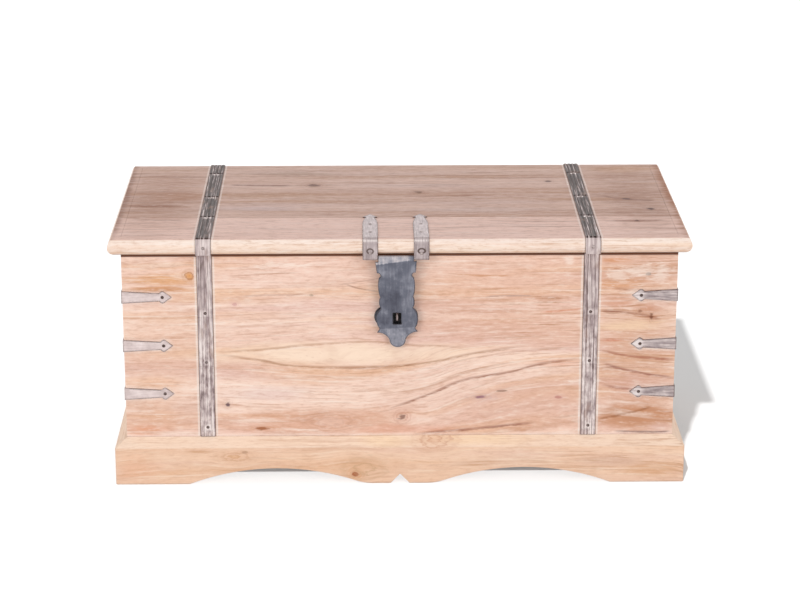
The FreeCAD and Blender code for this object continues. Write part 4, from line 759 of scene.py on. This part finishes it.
haspLook = dict(
    strapLook, metal=0.6, rough=0.42, brush=(460, 60, 34), relief=0.35, brushShare=0.28, cloudShare=0.6,
    stops=[(0.1, tone(58, 58, 69)), (0.95, tone(224, 214, 213)),
           (0.34, tone(86, 87, 99)), (0.52, tone(104, 106, 118)),
           (0.70, tone(146, 146, 156))],
    # painted highlights and painted shade on the plate: lighter and darker patches
    litAndShadedSpots=[
        {"at": (-0.024, 0.353, 0.022, 0.014), "lift": 0.12},
        {"at": (0.016, 0.325, 0.012, 0.06), "lift": 0.1},
        {"at": (-0.012, 0.30, 0.02, 0.04), "lift": -0.16},
        {"at": (-0.014, 0.327, 0.014, 0.012), "lift": 0.08},
        {"at": (0.006, 0.295, 0.006, 0.03), "lift": 0.08},
        {"at": (-0.024, 0.272, 0.012, 0.012), "lift": -0.08},
        {"at": (0.02, 0.353, 0.006, 0.012), "lift": 0.14},
    ],
    # painted highlights on the rolled top, running on as worn bright steel at the left, and on the lower tip
    bright=[
        {"at": (-0.0065, 0.3662), "slant": 0.13, "from": -0.040, "to": 0.022, "way": 1.0, "lift": 0.30},
        {"at": (-0.0065, 0.2565), "slant": 0.06, "from": -0.045, "to": 0.045, "way": -1.0, "lift": 0.14},
    ],
    stain=tone(92, 90, 98), stainShare=0.3, shadeAndDirt=tone(36, 28, 28), creaseShade=0.85,
)
stapleLook = dict(haspStrapLook, rings=[], bends=[])
backPlateLook = dict(
    # painted shadow: the staple plate goes near black where it shows through the hasp's slot, and its steel is
    # darker than the hasp's
    haspLook, litAndShadedSpots=[{"at": (-0.0046, 0.2728, 0.013, 0.017), "lift": -1.0}], bright=[], creaseShade=0.3,
    stops=[(0.0, tone(14, 12, 12)), (0.95, tone(206, 198, 198)),
           (0.3, tone(52, 50, 54)), (0.52, tone(94, 94, 102)),
           (0.70, tone(136, 134, 142))],
)


# every node: its paint and how far its edges are worn
edgeWear = {"weld": 1e-5, "flat": math.radians(0.5), "sharp": math.radians(34), "parts": 2, "faceWeight": 60}


def dress(names, material, worn):
    for name in names:
        obj = nodes[name]
        obj.data.materials.clear()
        obj.data.materials.append(material)
        obj.data.shade_smooth()
        weld = obj.modifiers.new("weld", "WELD")
        weld.merge_threshold = edgeWear["weld"]
        flat = obj.modifiers.new("flat", "DECIMATE")
        flat.decimate_type = "DISSOLVE"
        flat.angle_limit = edgeWear["flat"]
        worked = obj.modifiers.new("worn", "BEVEL")
        worked.width = worn
        worked.segments = edgeWear["parts"]
        worked.limit_method = "ANGLE"
        worked.angle_limit = edgeWear["sharp"]
        obj.modifiers.new("shade", "WEIGHTED_NORMAL").weight = edgeWear["faceWeight"]


def named(*starts):
    return sorted(name for name in nodes if name.startswith(starts))


faces = {
    "frontOut": {"axis": "y", "from": -0.19, "to": -0.2, "look": frontLook},
    "backOut": {"axis": "y", "from": 0.19, "to": 0.2, "look": backLook},
    "lidTop": {"axis": "z", "from": 0.4016, "to": 0.4024, "look": lidLook},
    "boardTop": {"axis": "z", "from": 0.378, "to": 0.382, "look": lidLook},
}
dress(named("front_board"), woodPaint("frontWood", insideLook, faces["frontOut"]), 0.0003)
dress(named("back_board"), woodPaint("backWood", insideLook, faces["backOut"]), 0.0004)
dress(named("left_board", "right_board"), woodPaint("sideWood", sideLook), 0.0004)
dress(named("floor_"), woodPaint("floorWood", floorLook), 0.001)
dress(named("lid_batten"), woodPaint("battenWood", battenLook), 0.0015)
dress(["plinth_front"], woodPaint("plinthFrontWood", plinthLook), 0.0012)
dress(["plinth_back"], woodPaint("plinthBackWood", plinthBackLook), 0.0012)
dress(["plinth_left", "plinth_right"], woodPaint("plinthSideWood", plinthSideLook), 0.0012)
dress(named("lid_board"), woodPaint("lidWood", lidUnderLook, faces["boardTop"]), 0.0006)
lidEdges, lidEnds = ["lid_moulding_front", "lid_moulding_back"], ["lid_moulding_left", "lid_moulding_right"]
dress(lidEdges, woodPaint("lidEdgeWood", lidEdgeLook, faces["lidTop"]), 0.0004)
dress(lidEnds, woodPaint("lidEndWood", lidEndLook, faces["lidTop"]), 0.0004)
print("wood painted")

dress(named("front_band_left", "front_band_right", "lid_band"), bandPaint("bandIron", bandLook), 0.0003)
straps = [name for name in named("corner_strap") if name != "corner_strap_nails"]
dress([name for name in straps if "_left_" in name], strapPaint("strapIron", strapLook), 0.0003)
dress([name for name in straps if "_right_" in name], strapPaint("strapDarkIron", strapRightLook), 0.0003)
dress(named("hasp_strap"), strapPaint("haspStrapIron", haspStrapLook), 0.0003)
dress(["hasp_plate", "hasp_pin"], strapPaint("haspSteel", haspLook), 0.0004)
dress(["staple"], strapPaint("stapleSteel", stapleLook), 0.0004)
dress(["staple_plate"], strapPaint("stapleDarkSteel", backPlateLook), 0.0003)
dress(named("hinge_"), strapPaint("hingeSteel", hingeLook), 0.0003)
dress(["front_band_nails"], strapPaint("nailIron", nailLook), 0.0004)
dress(["lid_nails"], strapPaint("lidNailIron", lidNailLook), 0.0004)
dress(["corner_strap_nails", "staple_plate_nails"], strapPaint("strapNailIron", strapNailLook), 0.0004)
print("iron painted")

# white floor and room: the lens and the metal see white, the object's shadow stays on the floor
studio = {"room": 0.62, "floorSize": 14.0, "floorGlow": 0.2, "floorTone": 0.42, "floorBounce": 0.32,
          "aimHeight": 0.2, "lamps": [
              {"name": "softboxLeft", "at": (-2.3, -3.2, 1.7), "size": 1.6, "power": 42.0},
              {"name": "softboxRight", "at": (2.3, -3.2, 1.7), "size": 1.6, "power": 30.0},
              {"name": "softboxBack", "at": (0.0, 3.6, 2.4), "size": 2.0, "power": 26.0},
          ],
          "floorLamp": {"from": (-0.1, -0.375, 0.4), "power": 5.6, "spread": 0.03}}


def seen(kit):
    # 1 for what the lens, a reflection or glass looks at
    ray = kit.node("ShaderNodeLightPath", {}, {}, "Is Camera Ray")
    outs = ray.socket.node.outputs
    return kit.most(ray, kit.most(Wire(kit, outs["Is Glossy Ray"]), Wire(kit, outs["Is Transmission Ray"])))


def lightRoom():
    world = bpy.data.worlds.new("room")
    bpy.context.scene.world = world
    world.use_nodes = True
    kit = Paint(world.node_tree)
    strength = seen(kit) * (1 - studio["room"]) + studio["room"]
    light = kit.node("ShaderNodeBackground", {}, {"Color": (1, 1, 1, 1), "Strength": strength})
    kit.close(light, "ShaderNodeOutputWorld")
    for lamp in studio["lamps"]:
        data = bpy.data.lights.new(lamp["name"], "AREA")
        data.size = lamp["size"]
        data.energy = lamp["power"]
        obj = bpy.data.objects.new(lamp["name"], data)
        bpy.context.scene.collection.objects.link(obj)
        obj.location = lamp["at"]
        aim = -obj.location
        aim.z += studio["aimHeight"]
        obj.rotation_euler = aim.to_track_quat("-Z", "Y").to_euler()


def layFloor():
    half = studio["floorSize"] / 2
    mesh = bpy.data.meshes.new("floor")
    corners = [(-half, -half, 0), (half, -half, 0), (half, half, 0), (-half, half, 0)]
    mesh.from_pydata(corners, [], [(0, 1, 2, 3)])
    floor = bpy.data.objects.new("floor", mesh)
    bpy.context.scene.collection.objects.link(floor)
    material = bpy.data.materials.new("floorWhite")
    material.use_nodes = True
    kit = Paint(material.node_tree)
    level, bounce = studio["floorTone"], studio["floorBounce"]
    plain = kit.node("ShaderNodeBsdfDiffuse", {}, {"Color": (bounce, bounce, bounce, 1)})
    shade = kit.node("ShaderNodeBsdfDiffuse", {}, {"Color": (level, level, level, 1)})
    glow = kit.node("ShaderNodeEmission", {}, {"Strength": studio["floorGlow"]})
    white = kit.node("ShaderNodeAddShader", {}, {0: shade, 1: glow})
    kit.close(kit.node("ShaderNodeMixShader", {}, {0: seen(kit), 1: plain, 2: white}))
    mesh.materials.append(material)
    return floor


def lightFloor(floor):
    # a lamp for the floor alone: it keeps the chest's shadow beside and behind it
    lamp = studio["floorLamp"]
    data = bpy.data.lights.new("floorLamp", "SUN")
    data.energy = lamp["power"]
    data.angle = lamp["spread"]
    obj = bpy.data.objects.new("floorLamp", data)
    bpy.context.scene.collection.objects.link(obj)
    obj.rotation_euler = Vector(lamp["from"]).to_track_quat("Z", "Y").to_euler()
    lit = bpy.data.collections.new("floorLit")
    lit.objects.link(floor)
    obj.light_linking.receiver_collection = lit
    shading = bpy.data.collections.new("floorShading")
    for name, node in nodes.items():
        if name != "plinth_front":  # light comes in under its arches
            shading.objects.link(node)
    obj.light_linking.blocker_collection = shading


view = {"at": (-0.0558, -3.8992, 1.4925), "down": 17.905, "turn": -0.865, "lens": 112.37, "sensor": 36}


def placeCamera():
    data = bpy.data.cameras.new("camera")
    data.sensor_width = view["sensor"]
    data.sensor_fit = "HORIZONTAL"
    data.lens = view["lens"]
    camera = bpy.data.objects.new("camera", data)
    bpy.context.scene.collection.objects.link(camera)
    camera.location = view["at"]
    camera.rotation_euler = (math.radians(90 - view["down"]), 0, math.radians(view["turn"]))
    bpy.context.scene.camera = camera


lightRoom()
lightFloor(layFloor())
placeCamera()
bpy.context.scene.view_settings.view_transform = "Standard"
print("room, floor and camera set")
